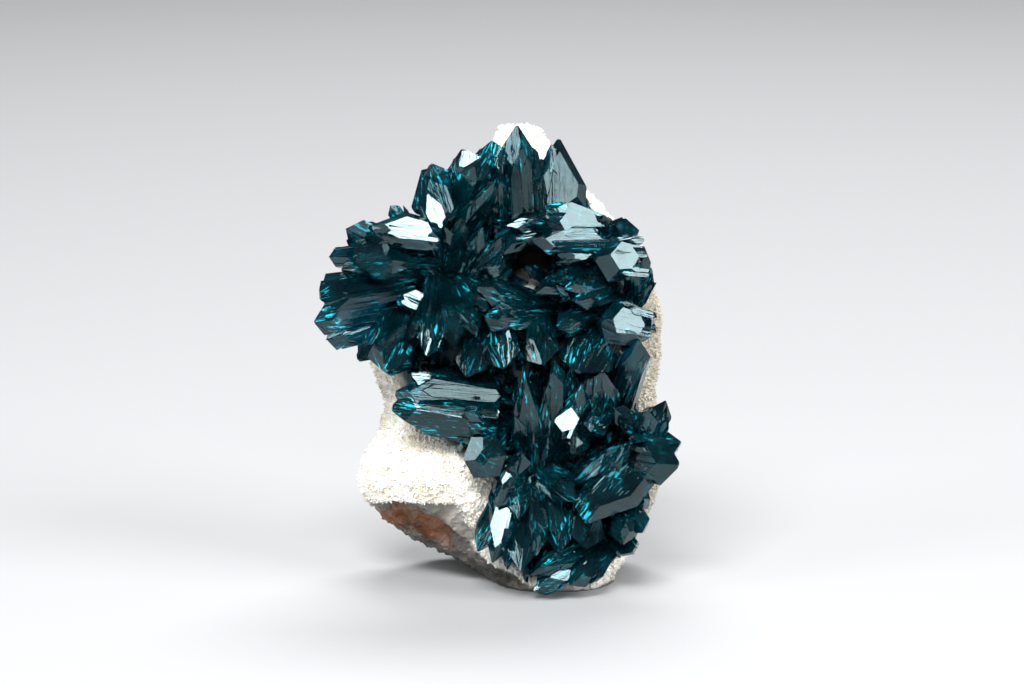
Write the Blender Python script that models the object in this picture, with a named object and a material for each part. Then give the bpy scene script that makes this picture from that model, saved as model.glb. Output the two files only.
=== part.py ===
"""A veszelyite specimen: sprays of dark blue-green bladed crystals on a broken piece of white, drusy rock.

Everything is laid out on the specimen's display side, in millimetres: u runs to the right, v up the face
and w out of it, towards the viewer. The display side leans back by LEAN_DEG, and the row frame's origin
is the middle of the flat foot that the rock stands on.
"""

import itertools
import math
import random
from collections import namedtuple

import bmesh
import bpy
import numpy as np
from mathutils import Matrix, Vector, noise
from mathutils.bvhtree import BVHTree

MM = 0.001
LEAN_DEG = 12.0
FOOT_MIDDLE = (3.5, -0.9, -0.45)  # the foot's middle, right of, behind and above the display side's origin

# Crystals
EDGE_FLAT = 0.62  # width of a blade's flat face as a share of its whole width
WAIST = 0.80  # width at the foot as a share of the width at the shoulders
BURIED = 2.5  # how far a crystal's axis runs on below its foot point, before the rock ends it
LOWER_END = 0.35  # length of a free lower end as a share of the crystal's width
FOOT_LIFT = 0.9  # height of a crystal's foot point over the rock
FOOT_REACH = 2.6  # how much of the rock around its foot a crystal's flat base follows
NARROW = 2.5  # a crystal narrower than this has one narrow face on each side instead of two
ROOT_WIDE = 5.2  # width of the stub that a spray grows from
ROOT_THICK = 4.6
ROOT_HEIGHT = 2.6  # how far the stub stands out of the rock
SMALL_WIDE = (3.0, 4.2)  # least and greatest width of the small crystals
SMALL_HEIGHT = (2.8, 4.0)  # least and greatest height of their tips over the rock
PLANE_TILT = 0.035  # each face leans this much from the ideal form, so that no two crystals match
AWAY_FROM_FOOT = 0.4  # how much less the end of a crystal counts than its foot, where only one can stay
LEAST_LEFT = 0.35  # a crystal of which less than this share would be left isn't built
MERGE = 0.004  # corners closer than this are one corner
SAME_FACE = math.radians(0.4)  # two faces that differ by less than this are one face
GAP = 0.3  # clear space between two sprays, and between a spray and the rock

# Rock
RING_POINTS = 28
RING_STEP = 2.0  # distance between two rings up the display side
ROCK_RELIEF = 0.42  # height of the rock's lumps
ROCK_LUMP = 3.1  # size of the rock's lumps

Blade = namedtuple("Blade", "foot tip wide thick turn left right chisel blunt rise")
Rock = namedtuple("Rock", "tree places")


def blade(foot, tip, wide, thick, turn=0.0, left=None, right=None, chisel=None, blunt=0.0, rise=0.0):
    """One crystal: foot (u, v) on the rock, tip (u, v, w) in the air, and its width and thickness.

    turn swings the broad face round the crystal's axis, in degrees. left and right say how far below the
    tip the two shoulders are, chisel how far below it the broad faces end, and blunt how much of the
    point is missing. rise lifts the foot off the rock, for a crystal that has grown on top of others.
    """
    left = wide * 0.9 if left is None else left
    right = wide * 0.9 if right is None else right
    chisel = thick * 0.9 if chisel is None else chisel
    return Blade(foot, tip, wide, thick, turn, left, right, chisel, blunt, rise)


# The sprays, the foremost first: where two would run into each other, the later one ends at the earlier.
SPRAYS = {
    "right_plate_spray": [
        blade((15.0, 13.0), (7.3, 4.8, 13.0), 5.4, 2.2, 8, left=5.2, right=1.0, rise=5.0),
        blade((6.6, 8.0), (12.1, 13.2, 10.9), 5.0, 3.0, -31, left=6.0, right=3.0),
        blade((11.6, 11.6), (16.9, 10.6, 10.2), 5.0, 2.4, 10, left=2.2, right=1.8, rise=2.0),
        blade((8.2, 7.6), (11.9, 12.9, 12.2), 2.4, 1.8, 14, left=5.0, right=3.5),
        blade((13.3, 12.2), (15.4, 17.1, 9.8), 2.8, 2.0, 20, left=1.6, right=2.0, rise=1.0),
        blade((13.2, 11.6), (17.0, 12.9, 9.4), 3.0, 2.2, -15, left=1.7, right=2.2),
        blade((13.0, 13.0), (10.2, 16.3, 12.4), 2.0, 1.5, 20, left=1.6, right=1.2),
        blade((12.8, 12.2), (13.6, 16.1, 11.2), 2.4, 1.8, -10, left=1.2, right=1.4),
    ],
    "spear_spray": [
        blade((2.4, 10.6), (1.1, 20.7, 13.2), 3.8, 1.6, 8, left=6.5, right=9.5),
        blade((4.1, 12.0), (4.2, 21.1, 12.2), 2.2, 1.3, -12, left=4.0, right=1.2),
        blade((5.0, 15.2), (5.9, 20.5, 10.8), 1.7, 1.1, 10, left=2.6, right=1.4),
        blade((1.6, 10.8), (0.2, 15.6, 12.4), 1.8, 1.0, -20, left=2.6, right=2.0),
        blade((2.6, 8.9), (2.1, 13.8, 13.2), 1.1, 0.7, -25, left=2.6, right=2.2),
        blade((3.4, 10.0), (3.9, 13.9, 13.0), 1.4, 0.8, 18, left=2.2, right=1.8),
    ],
    "left_tablet": [
        blade((-1.4, 14.8), (-12.3, 16.2, 9.8), 5.2, 3.2, -34, left=5.4, right=1.6, chisel=1.8, rise=2.4),
        blade((-1.0, 16.8), (-11.9, 17.9, 10.4), 4.8, 2.8, 10, left=1.6, right=3.6, chisel=1.6, rise=2.4),
        blade((-2.4, 17.6), (-10.2, 19.8, 10.6), 3.0, 2.2, 44, left=1.0, right=2.8),
        blade((-0.9, 15.0), (-4.8, 16.0, 13.6), 1.8, 1.2, 25, left=1.0, right=1.0),
        blade((-0.6, 14.0), (-4.4, 14.8, 13.3), 1.8, 1.2, 15, left=1.2, right=1.0),
    ],
    "left_spray": [
        blade((-6.8, 33.4), (-14.3, 34.5, 10.6), 4.0, 2.0, 18, left=2.4, right=3.4, rise=4.8),
        blade((-8.0, 31.6), (-15.8, 31.0, 13.2), 5.0, 3.0, 34, left=1.8, right=1.6),
        blade((-9.8, 31.6), (-16.6, 34.2, 10.9), 3.6, 2.0, -35, left=1.6, right=1.0),
        blade((-10.0, 31.4), (-18.3, 31.4, 10.4), 2.0, 1.7, 10, left=0.7, right=0.8),
        blade((-10.0, 30.8), (-17.1, 30.1, 10.6), 1.7, 1.5, -20, left=0.7, right=0.6),
        blade((-9.6, 32.8), (-12.2, 36.6, 9.4), 1.5, 1.2, 0, left=0.8, right=0.7),
    ],
    "crown_spray": [
        blade((4.9, 34.8), (4.7, 43.5, 9.2), 5.4, 2.8, 1, left=3.6, right=5.0, chisel=1.6, rise=3.0),
        blade((1.1, 35.6), (0.5, 44.8, 9.0), 3.8, 3.0, 17, left=2.6, right=3.6, chisel=2.6),
        blade((6.0, 35.0), (6.8, 39.6, 8.4), 2.2, 1.6, 24, left=1.4, right=1.8),
    ],
    "upper_left_spray": [
        blade((-7.0, 35.0), (-9.0, 40.4, 9.6), 4.8, 2.0, 4, left=3.6, right=1.4, rise=3.8),
        blade((-6.6, 35.4), (-8.1, 40.8, 10.4), 3.2, 1.6, 22, left=1.2, right=1.8),
        blade((-6.6, 35.0), (-6.7, 40.3, 9.0), 1.9, 1.5, 12, left=0.8, right=1.0),
        blade((-7.0, 34.0), (-8.8, 38.4, 10.8), 1.9, 1.2, 6, left=2.2, right=1.6, rise=5.4),
        blade((-6.0, 34.7), (-2.6, 41.6, 12.0), 3.4, 1.6, -30, left=3.4, right=1.6),
        blade((-5.8, 32.4), (-1.7, 38.8, 13.4), 2.4, 1.1, 46, left=3.6, right=2.0),
        blade((-3.8, 34.4), (-1.9, 43.2, 9.4), 4.4, 1.9, -14, left=2.6, right=1.3),
        blade((-4.6, 34.6), (-5.0, 42.4, 8.8), 4.2, 1.9, -26, left=2.6, right=0.9),
        blade((-1.0, 33.6), (-1.4, 40.4, 10.6), 2.6, 1.4, 16, left=2.8, right=2.0),
        blade((-0.6, 34.2), (-0.9, 41.9, 8.9), 1.5, 1.2, -10, left=1.2, right=1.0),
    ],
    "upper_right_spray": [
        blade((8.8, 33.8), (3.4, 34.9, 12.2), 2.4, 1.3, 17, left=1.0, right=0.8, rise=3.6),
        blade((9.2, 33.2), (1.9, 33.0, 12.9), 3.0, 1.4, 13, left=1.6, right=3.6, rise=4.2),
        blade((9.6, 32.6), (4.4, 31.6, 12.4), 2.2, 1.3, 6, left=1.0, right=1.6, rise=3.4),
        blade((9.0, 32.2), (8.6, 32.9, 11.4), 2.8, 2.2, 0),
        blade((7.3, 33.4), (6.9, 36.9, 10.0), 2.4, 1.8, 10, left=1.4, right=1.6),
        blade((9.0, 32.6), (9.1, 35.6, 10.2), 2.2, 1.8, -8, left=1.0, right=1.0),
        blade((10.4, 31.0), (11.2, 35.5, 9.0), 3.6, 2.2, 5, left=1.1, right=1.4),
        blade((13.0, 31.0), (8.1, 31.3, 12.3), 4.8, 2.6, 15, left=1.6, right=2.4, chisel=1.2, rise=5.6),
        blade((11.9, 27.2), (13.2, 32.6, 9.8), 2.3, 1.8, 12, left=1.2, right=2.0),
        blade((12.0, 26.6), (14.0, 30.4, 8.6), 2.1, 1.7, 20, left=1.0, right=1.6),
        blade((12.0, 27.2), (12.1, 30.3, 11.6), 1.7, 1.2, -20, left=1.4, right=1.0),
    ],
    "right_spray": [
        blade((8.6, 30.4), (2.3, 27.7, 13.2), 2.1, 1.3, 22, left=2.4, right=2.0),
        blade((9.6, 30.2), (4.2, 28.9, 13.8), 2.2, 1.3, 18, left=2.2, right=1.6),
        blade((11.0, 29.6), (5.2, 28.1, 14.2), 2.2, 1.3, 28, left=2.2, right=1.8),
        blade((11.0, 28.6), (6.2, 27.0, 13.6), 2.6, 1.6, 0, left=1.6, right=2.0),
        blade((8.2, 26.8), (4.4, 28.5, 12.9), 1.7, 1.1, 10, left=1.4, right=1.2),
        blade((9.0, 26.2), (4.4, 24.4, 13.2), 2.6, 1.8, 24, left=1.0, right=1.8),
        blade((13.6, 24.2), (8.7, 25.2, 12.4), 4.6, 2.4, 14, left=1.0, right=1.6, chisel=0.8, rise=4.4),
        blade((11.3, 25.2), (10.7, 24.8, 11.4), 2.8, 2.0, 25),
        blade((9.4, 23.8), (6.4, 19.8, 12.2), 5.6, 3.2, 22, left=2.0, right=1.6),
        blade((12.2, 25.2), (13.9, 24.2, 9.6), 3.0, 2.0, 8, left=1.0, right=1.4),
    ],
    "left_wing_spray": [
        blade((-10.0, 28.8), (-19.4, 27.3, 11.2), 3.6, 2.2, 24, left=1.4, right=0.9, blunt=0.3, rise=2.0),
        blade((-11.4, 29.0), (-19.0, 28.6, 9.8), 3.0, 1.8, 40, left=1.0, right=1.0),
        blade((-10.6, 27.0), (-19.8, 24.9, 11.4), 3.4, 2.0, -24, left=1.2, right=1.4),
        blade((-11.4, 26.2), (-18.6, 23.2, 10.2), 3.0, 1.8, -16, left=0.9, right=1.1),
        blade((-11.0, 26.4), (-15.4, 20.9, 9.8), 4.0, 1.8, 28, left=1.8, right=2.6),
        blade((-10.4, 26.4), (-12.7, 19.9, 12.0), 5.0, 2.8, 30, left=1.6, right=2.0, chisel=1.2),
        blade((-8.2, 26.2), (-11.8, 27.9, 9.1), 2.1, 1.2, 18, left=1.0, right=0.8, rise=3.3),
    ],
    "centre_fan": [
        blade((-6.4, 29.6), (-3.5, 23.4, 13.6), 2.8, 1.5, -16, left=2.6, right=3.4),
        blade((-7.0, 29.4), (-5.6, 22.2, 14.4), 2.5, 1.5, -6, left=2.8, right=2.6),
        blade((-7.6, 29.2), (-8.4, 21.4, 14.2), 3.0, 1.8, -22, left=2.2, right=2.6),
        blade((-5.6, 29.2), (-2.4, 26.0, 12.6), 2.2, 1.3, 20, left=1.8, right=2.0),
        blade((-4.8, 28.8), (-1.1, 33.3, 13.4), 2.2, 1.1, -18, left=2.8, right=1.4),
        blade((-3.6, 28.2), (-0.9, 31.4, 13.9), 1.8, 1.1, 14, left=2.2, right=1.4),
        blade((-5.4, 29.4), (-2.9, 34.3, 13.2), 2.2, 1.2, -24, left=2.6, right=1.8),
        blade((-6.2, 29.6), (-4.6, 34.6, 13.0), 2.0, 1.2, 10, left=2.2, right=1.6),
    ],
    "centre_spray": [
        blade((2.8, 26.2), (-3.6, 28.4, 12.4), 3.2, 1.8, 30, left=2.2, right=1.8),
        blade((3.2, 25.6), (-2.8, 25.4, 13.0), 3.2, 1.9, -16, left=1.4, right=2.0),
        blade((2.6, 25.2), (3.1, 20.6, 12.6), 3.6, 2.6, 12, left=1.6, right=1.4),
        blade((-1.4, 25.4), (-0.8, 20.2, 12.4), 3.8, 2.6, 20, left=1.8, right=1.6),
        blade((-2.6, 25.0), (-4.6, 19.3, 11.6), 3.4, 2.6, 14, left=1.6, right=1.8),
    ],
    "shoulder_spray": [
        blade((8.8, 14.9), (9.1, 20.0, 11.8), 3.8, 1.8, 8, left=1.6, right=3.2),
        blade((7.4, 15.4), (7.6, 19.3, 11.4), 2.0, 1.4, -14, left=1.0, right=1.2),
        blade((9.6, 15.8), (7.8, 14.0, 12.8), 2.4, 1.6, 18, left=1.4, right=1.2),
        blade((5.2, 13.2), (7.0, 18.8, 12.0), 2.2, 1.4, -28, left=2.6, right=1.8),
        blade((10.6, 17.0), (12.6, 23.3, 11.4), 3.6, 1.8, -14, left=4.2, right=1.4),
        blade((6.2, 11.4), (6.4, 15.3, 10.4), 3.2, 2.2, 0, left=1.4, right=1.4, rise=3.0),
        blade((4.9, 13.2), (6.5, 17.4, 10.4), 2.4, 1.6, -10, left=2.0, right=1.0, rise=4.0),
    ],
    "stub_crystal": [
        blade((-2.4, 12.0), (-2.8, 11.3, 13.2), 4.3, 4.0, 34, left=0.9, right=0.9, chisel=0.9, blunt=0.3),
    ],
    "lower_spray": [
        blade((-0.3, 7.8), (-2.0, 0.8, 12.0), 3.2, 1.7, 10, left=2.2, right=3.4, rise=0.8),
        blade((-1.2, 6.6), (-3.5, 2.0, 12.0), 2.3, 1.6, 38, left=1.6, right=2.0),
        blade((0.9, 6.8), (0.9, 0.1, 13.6), 2.7, 1.7, -8, left=2.0, right=2.4),
        blade((0.2, 6.4), (-0.5, 0.2, 12.8), 1.8, 1.3, 18, left=1.8, right=2.0),
        blade((0.8, 11.0), (-1.6, 6.4, 11.9), 3.0, 1.8, 14, left=1.4, right=2.6, rise=1.2),
        blade((0.6, 9.6), (0.7, 5.3, 13.6), 1.9, 1.4, -20, left=2.0, right=1.4),
        blade((0.0, 8.4), (0.9, 12.0, 12.6), 2.6, 1.6, -16, left=1.6, right=1.0),
        blade((2.2, 10.4), (6.4, 7.1, 13.8), 3.0, 1.6, 8, left=2.4, right=2.8),
        blade((2.2, 9.2), (2.4, 1.6, 12.6), 2.6, 1.9, -10, left=2.0, right=1.6),
        blade((4.2, 8.2), (4.7, 1.8, 12.2), 2.8, 2.0, 12, left=1.6, right=2.2),
        blade((7.4, 7.2), (7.3, 2.2, 11.6), 4.2, 2.4, -14, left=1.8, right=2.0),
    ],
    "foot_spray": [
        blade((10.2, 3.6), (1.8, -0.2, 13.6), 2.1, 1.5, 30, left=1.8, right=2.2),
        blade((9.8, 2.6), (2.4, -1.3, 13.0), 2.3, 1.6, 6, left=1.6, right=2.2),
        blade((10.2, 2.4), (5.7, -1.3, 12.4), 2.5, 1.6, -8, left=1.6, right=1.8),
        blade((7.4, 1.4), (2.0, -2.0, 11.6), 2.4, 1.7, -20, left=1.4, right=2.0),
        blade((10.4, 4.6), (11.3, 4.0, 12.6), 2.8, 2.2, 30, left=0.8, right=0.8, blunt=0.6),
        blade((11.8, 6.6), (13.0, 3.8, 10.4), 2.6, 1.8, 10, left=1.4, right=1.2),
        blade((10.6, 3.6), (12.0, 1.9, 10.6), 2.3, 1.6, 0, left=1.0, right=1.2),
        blade((12.2, 7.2), (13.3, 7.2, 10.0), 2.2, 1.8, 0, left=0.8, right=0.8),
    ],
    "hollow_crystal": [
        blade((2.9, 29.3), (1.4, 30.6, 8.6), 1.4, 1.0, 20, left=1.4, right=1.0),
    ],
}

# Small crystals that fill in between the large ones: the spray's middle, and the places of their tips
SMALL_CRYSTALS = {
    "right_plate_spray": ((12.6, 11.4), [(11.8, 8.4), (9.4, 7.6), (12.6, 14.4), (14.4, 14.6), (7.2, 12.2)]),
    "spear_spray": ((3.0, 12.0), [(5.0, 13.0), (0.4, 13.2)]),
    "left_tablet": ((-3.4, 16.4), [(-6.6, 19.0), (-3.2, 18.6), (-7.6, 15.0), (-1.0, 18.6), (-5.4, 13.6)]),
    "left_spray": (
        (-9.2, 31.8),
        [(-9.8, 34.6), (-9.2, 29.2), (-12.4, 29.8)],
    ),
    "upper_left_spray": ((-5.0, 35.6), [(-6.2, 38.6), (-3.4, 37.6), (-0.4, 36.8)]),
    "crown_spray": ((3.0, 35.8), [(2.3, 37.4), (1.0, 38.4), (6.6, 36.8), (8.0, 36.6)]),
    "upper_right_spray": (
        (9.4, 32.6),
        [(6.3, 35.0), (11.6, 33.4), (9.8, 30.4), (13.0, 28.8)],
    ),
    "right_spray": (
        (9.4, 26.4),
        [(12.0, 28.0), (6.6, 24.4), (10.6, 21.8), (12.9, 25.6)],
    ),
    "left_wing_spray": (
        (-11.4, 26.2),
        [(-14.6, 24.4), (-9.4, 22.0), (-9.2, 25.2)],
    ),
    "centre_fan": (
        (-6.2, 28.6),
        [(-6.2, 32.2), (-2.4, 30.2), (-8.6, 26.8), (-5.0, 25.0)],
    ),
    "centre_spray": (
        (0.4, 24.6),
        [(0.8, 28.0), (0.9, 21.6), (-6.8, 21.6), (4.8, 23.2), (-4.2, 23.2)],
    ),
    "shoulder_spray": ((9.2, 17.0), [(6.4, 17.0), (9.4, 20.4)]),
    "lower_spray": (
        (2.6, 7.4),
        [(-0.9, 9.0), (0.6, 3.8), (3.4, 5.0), (6.0, 5.0), (4.6, 10.4)],
    ),
    "foot_spray": ((8.6, 2.6), [(4.4, 0.8), (8.4, 0.2), (10.6, 2.0)]),
}

# The rock, ring by ring up the display side: height v, then how far it reaches left, right, back and front.
ROCK_RINGS = [
    (-3.4, 0.5, 8.0, 1.5, 8.0),
    (-1.6, -1.6, 10.2, -3.6, 8.6),
    (0.2, -4.6, 11.3, -6.0, 8.4),
    (1.6, -9.2, 12.2, -7.0, 7.8),
    (4.2, -13.0, 13.4, -7.4, 7.4),
    (6.0, -15.1, 14.2, -7.4, 7.4),
    (8.5, -15.9, 15.1, -7.2, 7.4),
    (11.3, -15.3, 15.2, -7.0, 7.2),
    (13.4, -13.3, 14.9, -7.0, 7.0),
    (16.0, -12.7, 14.7, -6.8, 6.8),
    (20.4, -14.9, 15.4, -6.6, 6.8),
    (24.0, -14.4, 15.6, -6.4, 6.8),
    (28.0, -13.8, 15.1, -6.0, 6.6),
    (32.0, -12.6, 12.8, -5.4, 6.6),
    (36.0, -9.6, 9.6, -4.4, 6.4),
    (40.0, -4.8, 6.2, -2.8, 6.0),
    (43.2, -1.8, 3.9, -0.6, 5.2),
    (44.8, -1.5, 2.4, 1.2, 4.0),
]
# Round swellings and pits of the front: (u, v), reach across and up, and height out of the face
ROCK_SWELLINGS = [
    ((-9.5, 9.2), (6.6, 4.4), 3.0),
    ((-5.0, 6.8), (4.0, 3.6), 1.6),
    ((-13.4, 19.6), (2.0, 1.6), 1.6),
    ((-11.2, 5.0), (3.2, 1.15), -3.4),
    ((-6.5, 2.2), (5.2, 1.7), -1.8),
    ((1.8, 30.6), (2.8, 2.2), -2.2),
]
# Broken faces of the back and sides: outward direction (u, v, w) and how far out along it they lie
BREAKS = [
    ((0.10, 0.05, -1.0), 5.9),
    ((-0.55, 0.15, -1.0), 8.6),
    ((0.75, -0.05, -1.0), 10.4),
    ((0.20, 0.80, -1.0), 26.6),
    ((-0.75, 0.75, -0.8), 24.4),
    ((-0.30, -0.85, -0.85), 4.2),
]

ROCK_COLOUR = (0.86, 0.83, 0.76)
CRYSTAL_COLOUR = (0.006, 0.085, 0.11)


# Places and directions


def row_direction(u, v, w):
    """A direction on the display side, in the row frame."""
    lean = math.radians(LEAN_DEG)
    return Vector((u, v * math.sin(lean) - w * math.cos(lean), v * math.cos(lean) + w * math.sin(lean)))


def row_point(u, v, w):
    """A place on the display side, in the row frame, both in millimetres."""
    return row_direction(u, v, w) - Vector(FOOT_MIDDLE)


OUTWARDS = row_direction(0, 0, 1)


def height_of(point):
    """How far a place is out of the display side."""
    return (point + Vector(FOOT_MIDDLE)).dot(OUTWARDS)


def material(name, colour, roughness):
    made = bpy.data.materials.new(name)
    made.use_nodes = True
    shader = made.node_tree.nodes["Principled BSDF"]
    shader.inputs["Base Color"].default_value = (*colour, 1.0)
    shader.inputs["Roughness"].default_value = roughness
    shader.inputs["Metallic"].default_value = 0.0
    return made


def mesh_object(name, points, faces):
    """An object in millimetres; build() turns it into metres at the end."""
    mesh = bpy.data.meshes.new(name)
    mesh.from_pydata([tuple(point) for point in points], [], faces)
    mesh.update()
    made = bpy.data.objects.new(name, mesh)
    bpy.context.scene.collection.objects.link(made)
    return made


# Solids bounded by planes. A plane is (normal, distance), and holds what lies behind it


def merged(places):
    """The places, with those that lie closer together than MERGE made one."""
    kept = []
    for place in places:
        if all(np.abs(place - other).max() > MERGE for other in kept):
            kept.append(place)
    return np.array(kept)


def convex_solid(planes):
    """Corner points and faces of the space behind all the planes, or ([], []) if there is none."""
    normals = np.array([tuple(n) for n, _ in planes])
    lengths = np.linalg.norm(normals, axis=1)
    normals = normals / lengths[:, None]
    reach = np.array([d for _, d in planes]) / lengths
    triples = np.array(list(itertools.combinations(range(len(planes)), 3)))
    systems = normals[triples]
    solvable = np.abs(np.linalg.det(systems)) > 1e-5
    corners = np.linalg.solve(systems[solvable], reach[triples[solvable]][..., None])[..., 0]
    inside = (corners @ normals.T <= reach + 1e-6).all(axis=1)
    corners = merged(corners[inside])
    if len(corners) < 4:
        return [], []
    faces = []
    for normal, distance in zip(normals, reach):
        on_face = np.flatnonzero(np.abs(corners @ normal - distance) < 1.5 * MERGE)
        if len(on_face) < 3:
            continue
        middle = corners[on_face].mean(axis=0)
        across = corners[on_face[0]] - middle
        across /= np.linalg.norm(across)
        up = np.cross(normal, across)
        around = np.arctan2((corners[on_face] - middle) @ up, (corners[on_face] - middle) @ across)
        faces.append([int(i) for i in on_face[np.argsort(around)]])
    return ([], []) if len(faces) < 4 else (corners, faces)


def convex_object(name, planes):
    """An object of the space behind all the planes, its flat faces undivided."""
    corners, _ = convex_solid(planes)
    mesh = bmesh.new()
    points = [mesh.verts.new(corner) for corner in corners]
    hull = bmesh.ops.convex_hull(mesh, input=points)
    inner = [item for item in hull["geom_interior"] if isinstance(item, bmesh.types.BMVert)]
    bmesh.ops.delete(mesh, geom=inner, context="VERTS")
    bmesh.ops.dissolve_limit(mesh, angle_limit=SAME_FACE, verts=mesh.verts[:], edges=mesh.edges[:])
    bmesh.ops.recalc_face_normals(mesh, faces=mesh.faces[:])
    made = mesh_object(name, [], [])
    mesh.to_mesh(made.data)
    mesh.free()
    return made


def volume(points, faces):
    """Volume of a convex solid."""
    if len(points) == 0:
        return 0.0
    middle = points.mean(axis=0)
    total = 0.0
    for face in faces:
        for i in range(1, len(face) - 1):
            a, b, c = (points[face[k]] - middle for k in (0, i, i + 1))
            total += abs(np.dot(a, np.cross(b, c))) / 6
    return total


# The rock


def ring_at(v):
    """How far the rock reaches left, right, back and front at height v."""
    for low, high in zip(ROCK_RINGS, ROCK_RINGS[1:]):
        if low[0] <= v <= high[0]:
            share = (v - low[0]) / (high[0] - low[0])
            return [a + (b - a) * share for a, b in zip(low[1:], high[1:])]
    return ROCK_RINGS[-1][1:]


def swelling(u, v):
    total = 0.0
    for (centre_u, centre_v), (reach_u, reach_v), height in ROCK_SWELLINGS:
        distance = ((u - centre_u) / reach_u) ** 2 + ((v - centre_v) / reach_v) ** 2
        total += height * math.exp(-distance)
    return total


def rock_point(v, turn):
    """One point of the ring at height v; turn runs round from the right, by way of the front."""
    left, right, back, front = ring_at(v)
    across = math.copysign(abs(math.cos(turn)) ** 0.72, math.cos(turn))
    out = math.copysign(abs(math.sin(turn)) ** 0.72, math.sin(turn))
    u = (left + right) / 2 + (right - left) / 2 * across
    w = (back + front) / 2 + (front - back) / 2 * out
    w += swelling(u, v) * max(0.0, out)
    lump = noise.noise(Vector((u, v, w)) / ROCK_LUMP) + 0.5 * noise.noise(Vector((u, v, w)) * 2 / ROCK_LUMP)
    return row_point(u + lump * ROCK_RELIEF * across, v, w + lump * ROCK_RELIEF * out)


def cut_flat(mesh, point, normal):
    """Takes off what lies beyond a plane, and closes the cut."""
    everything = mesh.verts[:] + mesh.edges[:] + mesh.faces[:]
    bmesh.ops.bisect_plane(mesh, geom=everything, plane_co=point, plane_no=normal, clear_outer=True)
    rim = [edge for edge in mesh.edges if edge.is_boundary]
    bmesh.ops.holes_fill(mesh, edges=rim, sides=0)


def rock_mesh():
    """The rock in millimetres: rings, closed at both ends, then its broken faces and its foot."""
    lowest, highest = ROCK_RINGS[0][0], ROCK_RINGS[-1][0]
    count = round((highest - lowest) / RING_STEP)
    mesh = bmesh.new()
    rings = []
    for level in range(count + 1):
        v = lowest + (highest - lowest) * level / count
        turns = [2 * math.pi * k / RING_POINTS for k in range(RING_POINTS)]
        rings.append([mesh.verts.new(rock_point(v, turn)) for turn in turns])
    for low, high in zip(rings, rings[1:]):
        for k in range(RING_POINTS):
            after = (k + 1) % RING_POINTS
            mesh.faces.new((low[k], high[k], high[after], low[after]))
    mesh.faces.new(rings[0])
    mesh.faces.new(rings[-1][::-1])
    bmesh.ops.recalc_face_normals(mesh, faces=mesh.faces[:])
    bmesh.ops.triangulate(mesh, faces=mesh.faces[:])
    for direction, distance in BREAKS:
        outward = row_direction(*direction).normalized()
        cut_flat(mesh, row_point(0, 0, 0) + outward * distance, outward)
    cut_flat(mesh, Vector((0, 0, 0)), Vector((0, 0, -1)))
    bmesh.ops.triangulate(mesh, faces=mesh.faces[:])
    bmesh.ops.recalc_face_normals(mesh, faces=mesh.faces[:])
    return mesh


# The crystals


def front_of(rock, u, v):
    """The rock's front at (u, v), or a place level with the display side's origin where there is none."""
    hit = rock.tree.ray_cast(row_point(u, v, 60), -OUTWARDS)[0]
    return row_point(u, v, 0) if hit is None else hit


def small_blades(name, rock):
    """The stub that a spray grows from, and its small crystals, which lean away from its middle."""
    if name not in SMALL_CRYSTALS:
        return []
    middle, places = SMALL_CRYSTALS[name]
    chance = random.Random(name)
    top = height_of(front_of(rock, *middle)) + ROOT_HEIGHT
    made = [blade(middle, (*middle, top), ROOT_WIDE, ROOT_THICK, blunt=0.4, left=1.0, right=1.0, chisel=0.9)]
    for u, v in places:
        foot = (u + (middle[0] - u) * 0.35, v + (middle[1] - v) * 0.35)
        height = height_of(front_of(rock, u, v)) + chance.uniform(*SMALL_HEIGHT)
        wide = chance.uniform(*SMALL_WIDE)
        made.append(blade(foot, (u, v, height), wide, wide * 0.6, chance.uniform(-50, 50)))
    return made


def crystal_axes(crystal, foot):
    """Tip, and the crystal's own directions: across its width, out of its broad face, and along it."""
    tip = row_point(*crystal.tip)
    along = (tip - foot).normalized()
    facing = (OUTWARDS - along * OUTWARDS.dot(along)).normalized()
    across = along.cross(facing)
    turn = math.radians(crystal.turn)
    out = facing * math.cos(turn) + across * math.sin(turn)
    across = across * math.cos(turn) - facing * math.sin(turn)
    return tip, across, out, along


def crystal_planes(crystal, foot, seed):
    """The faces of one blade: two broad ones, the narrow ones beside them, four at the tip and one below."""
    tip, across, out, along = crystal_axes(crystal, foot)
    chance = random.Random(seed)
    half_width, half_thick = crystal.wide / 2, crystal.thick / 2
    length = (tip - foot).length
    narrowing = half_width * (1 - WAIST) / max(length - max(crystal.left, crystal.right), 1.0)
    planes = []

    def face(x, y, z, through):
        """A face with this outward direction, in the crystal's own axes, through a point of them."""
        lean = [chance.uniform(-PLANE_TILT, PLANE_TILT) for _ in range(3)]
        size = math.sqrt(x * x + y * y + z * z)
        normal = across * (x / size + lean[0]) + out * (y / size + lean[1]) + along * (z / size + lean[2])
        normal.normalize()
        spot = tip + across * through[0] + out * through[1] + along * through[2]
        planes.append((normal, normal.dot(spot)))

    for side in (1, -1):
        face(0, side, 0, (0, side * half_thick, -crystal.chisel))
        shoulder = crystal.right if side > 0 else crystal.left
        edge = (side * half_width, 0, -shoulder)
        if crystal.wide < NARROW:
            face(side, 0, -narrowing, edge)
        for front in (1, -1):
            run = half_width * (1 - EDGE_FLAT)
            if crystal.wide >= NARROW:
                face(side * half_thick, front * run, -narrowing * half_thick, edge)
            slope = crystal.chisel * (1.0 if front > 0 else 0.6) * crystal.wide / crystal.thick
            face(side * shoulder, front * slope, half_width, (0, 0, 0))
    if crystal.blunt:
        face(0.1, 0.15, 1, (0, 0, -crystal.blunt))
    if not crystal.rise:
        face(0, 0, -1, (0, 0, -length - BURIED))
        return planes
    taper = crystal.wide * LOWER_END
    for side in (1, -1):
        for front in (1, -1):
            slope = taper * crystal.wide / crystal.thick * 0.7
            face(side * taper, front * slope, -half_width, (0, 0, -length))
    return planes


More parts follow.
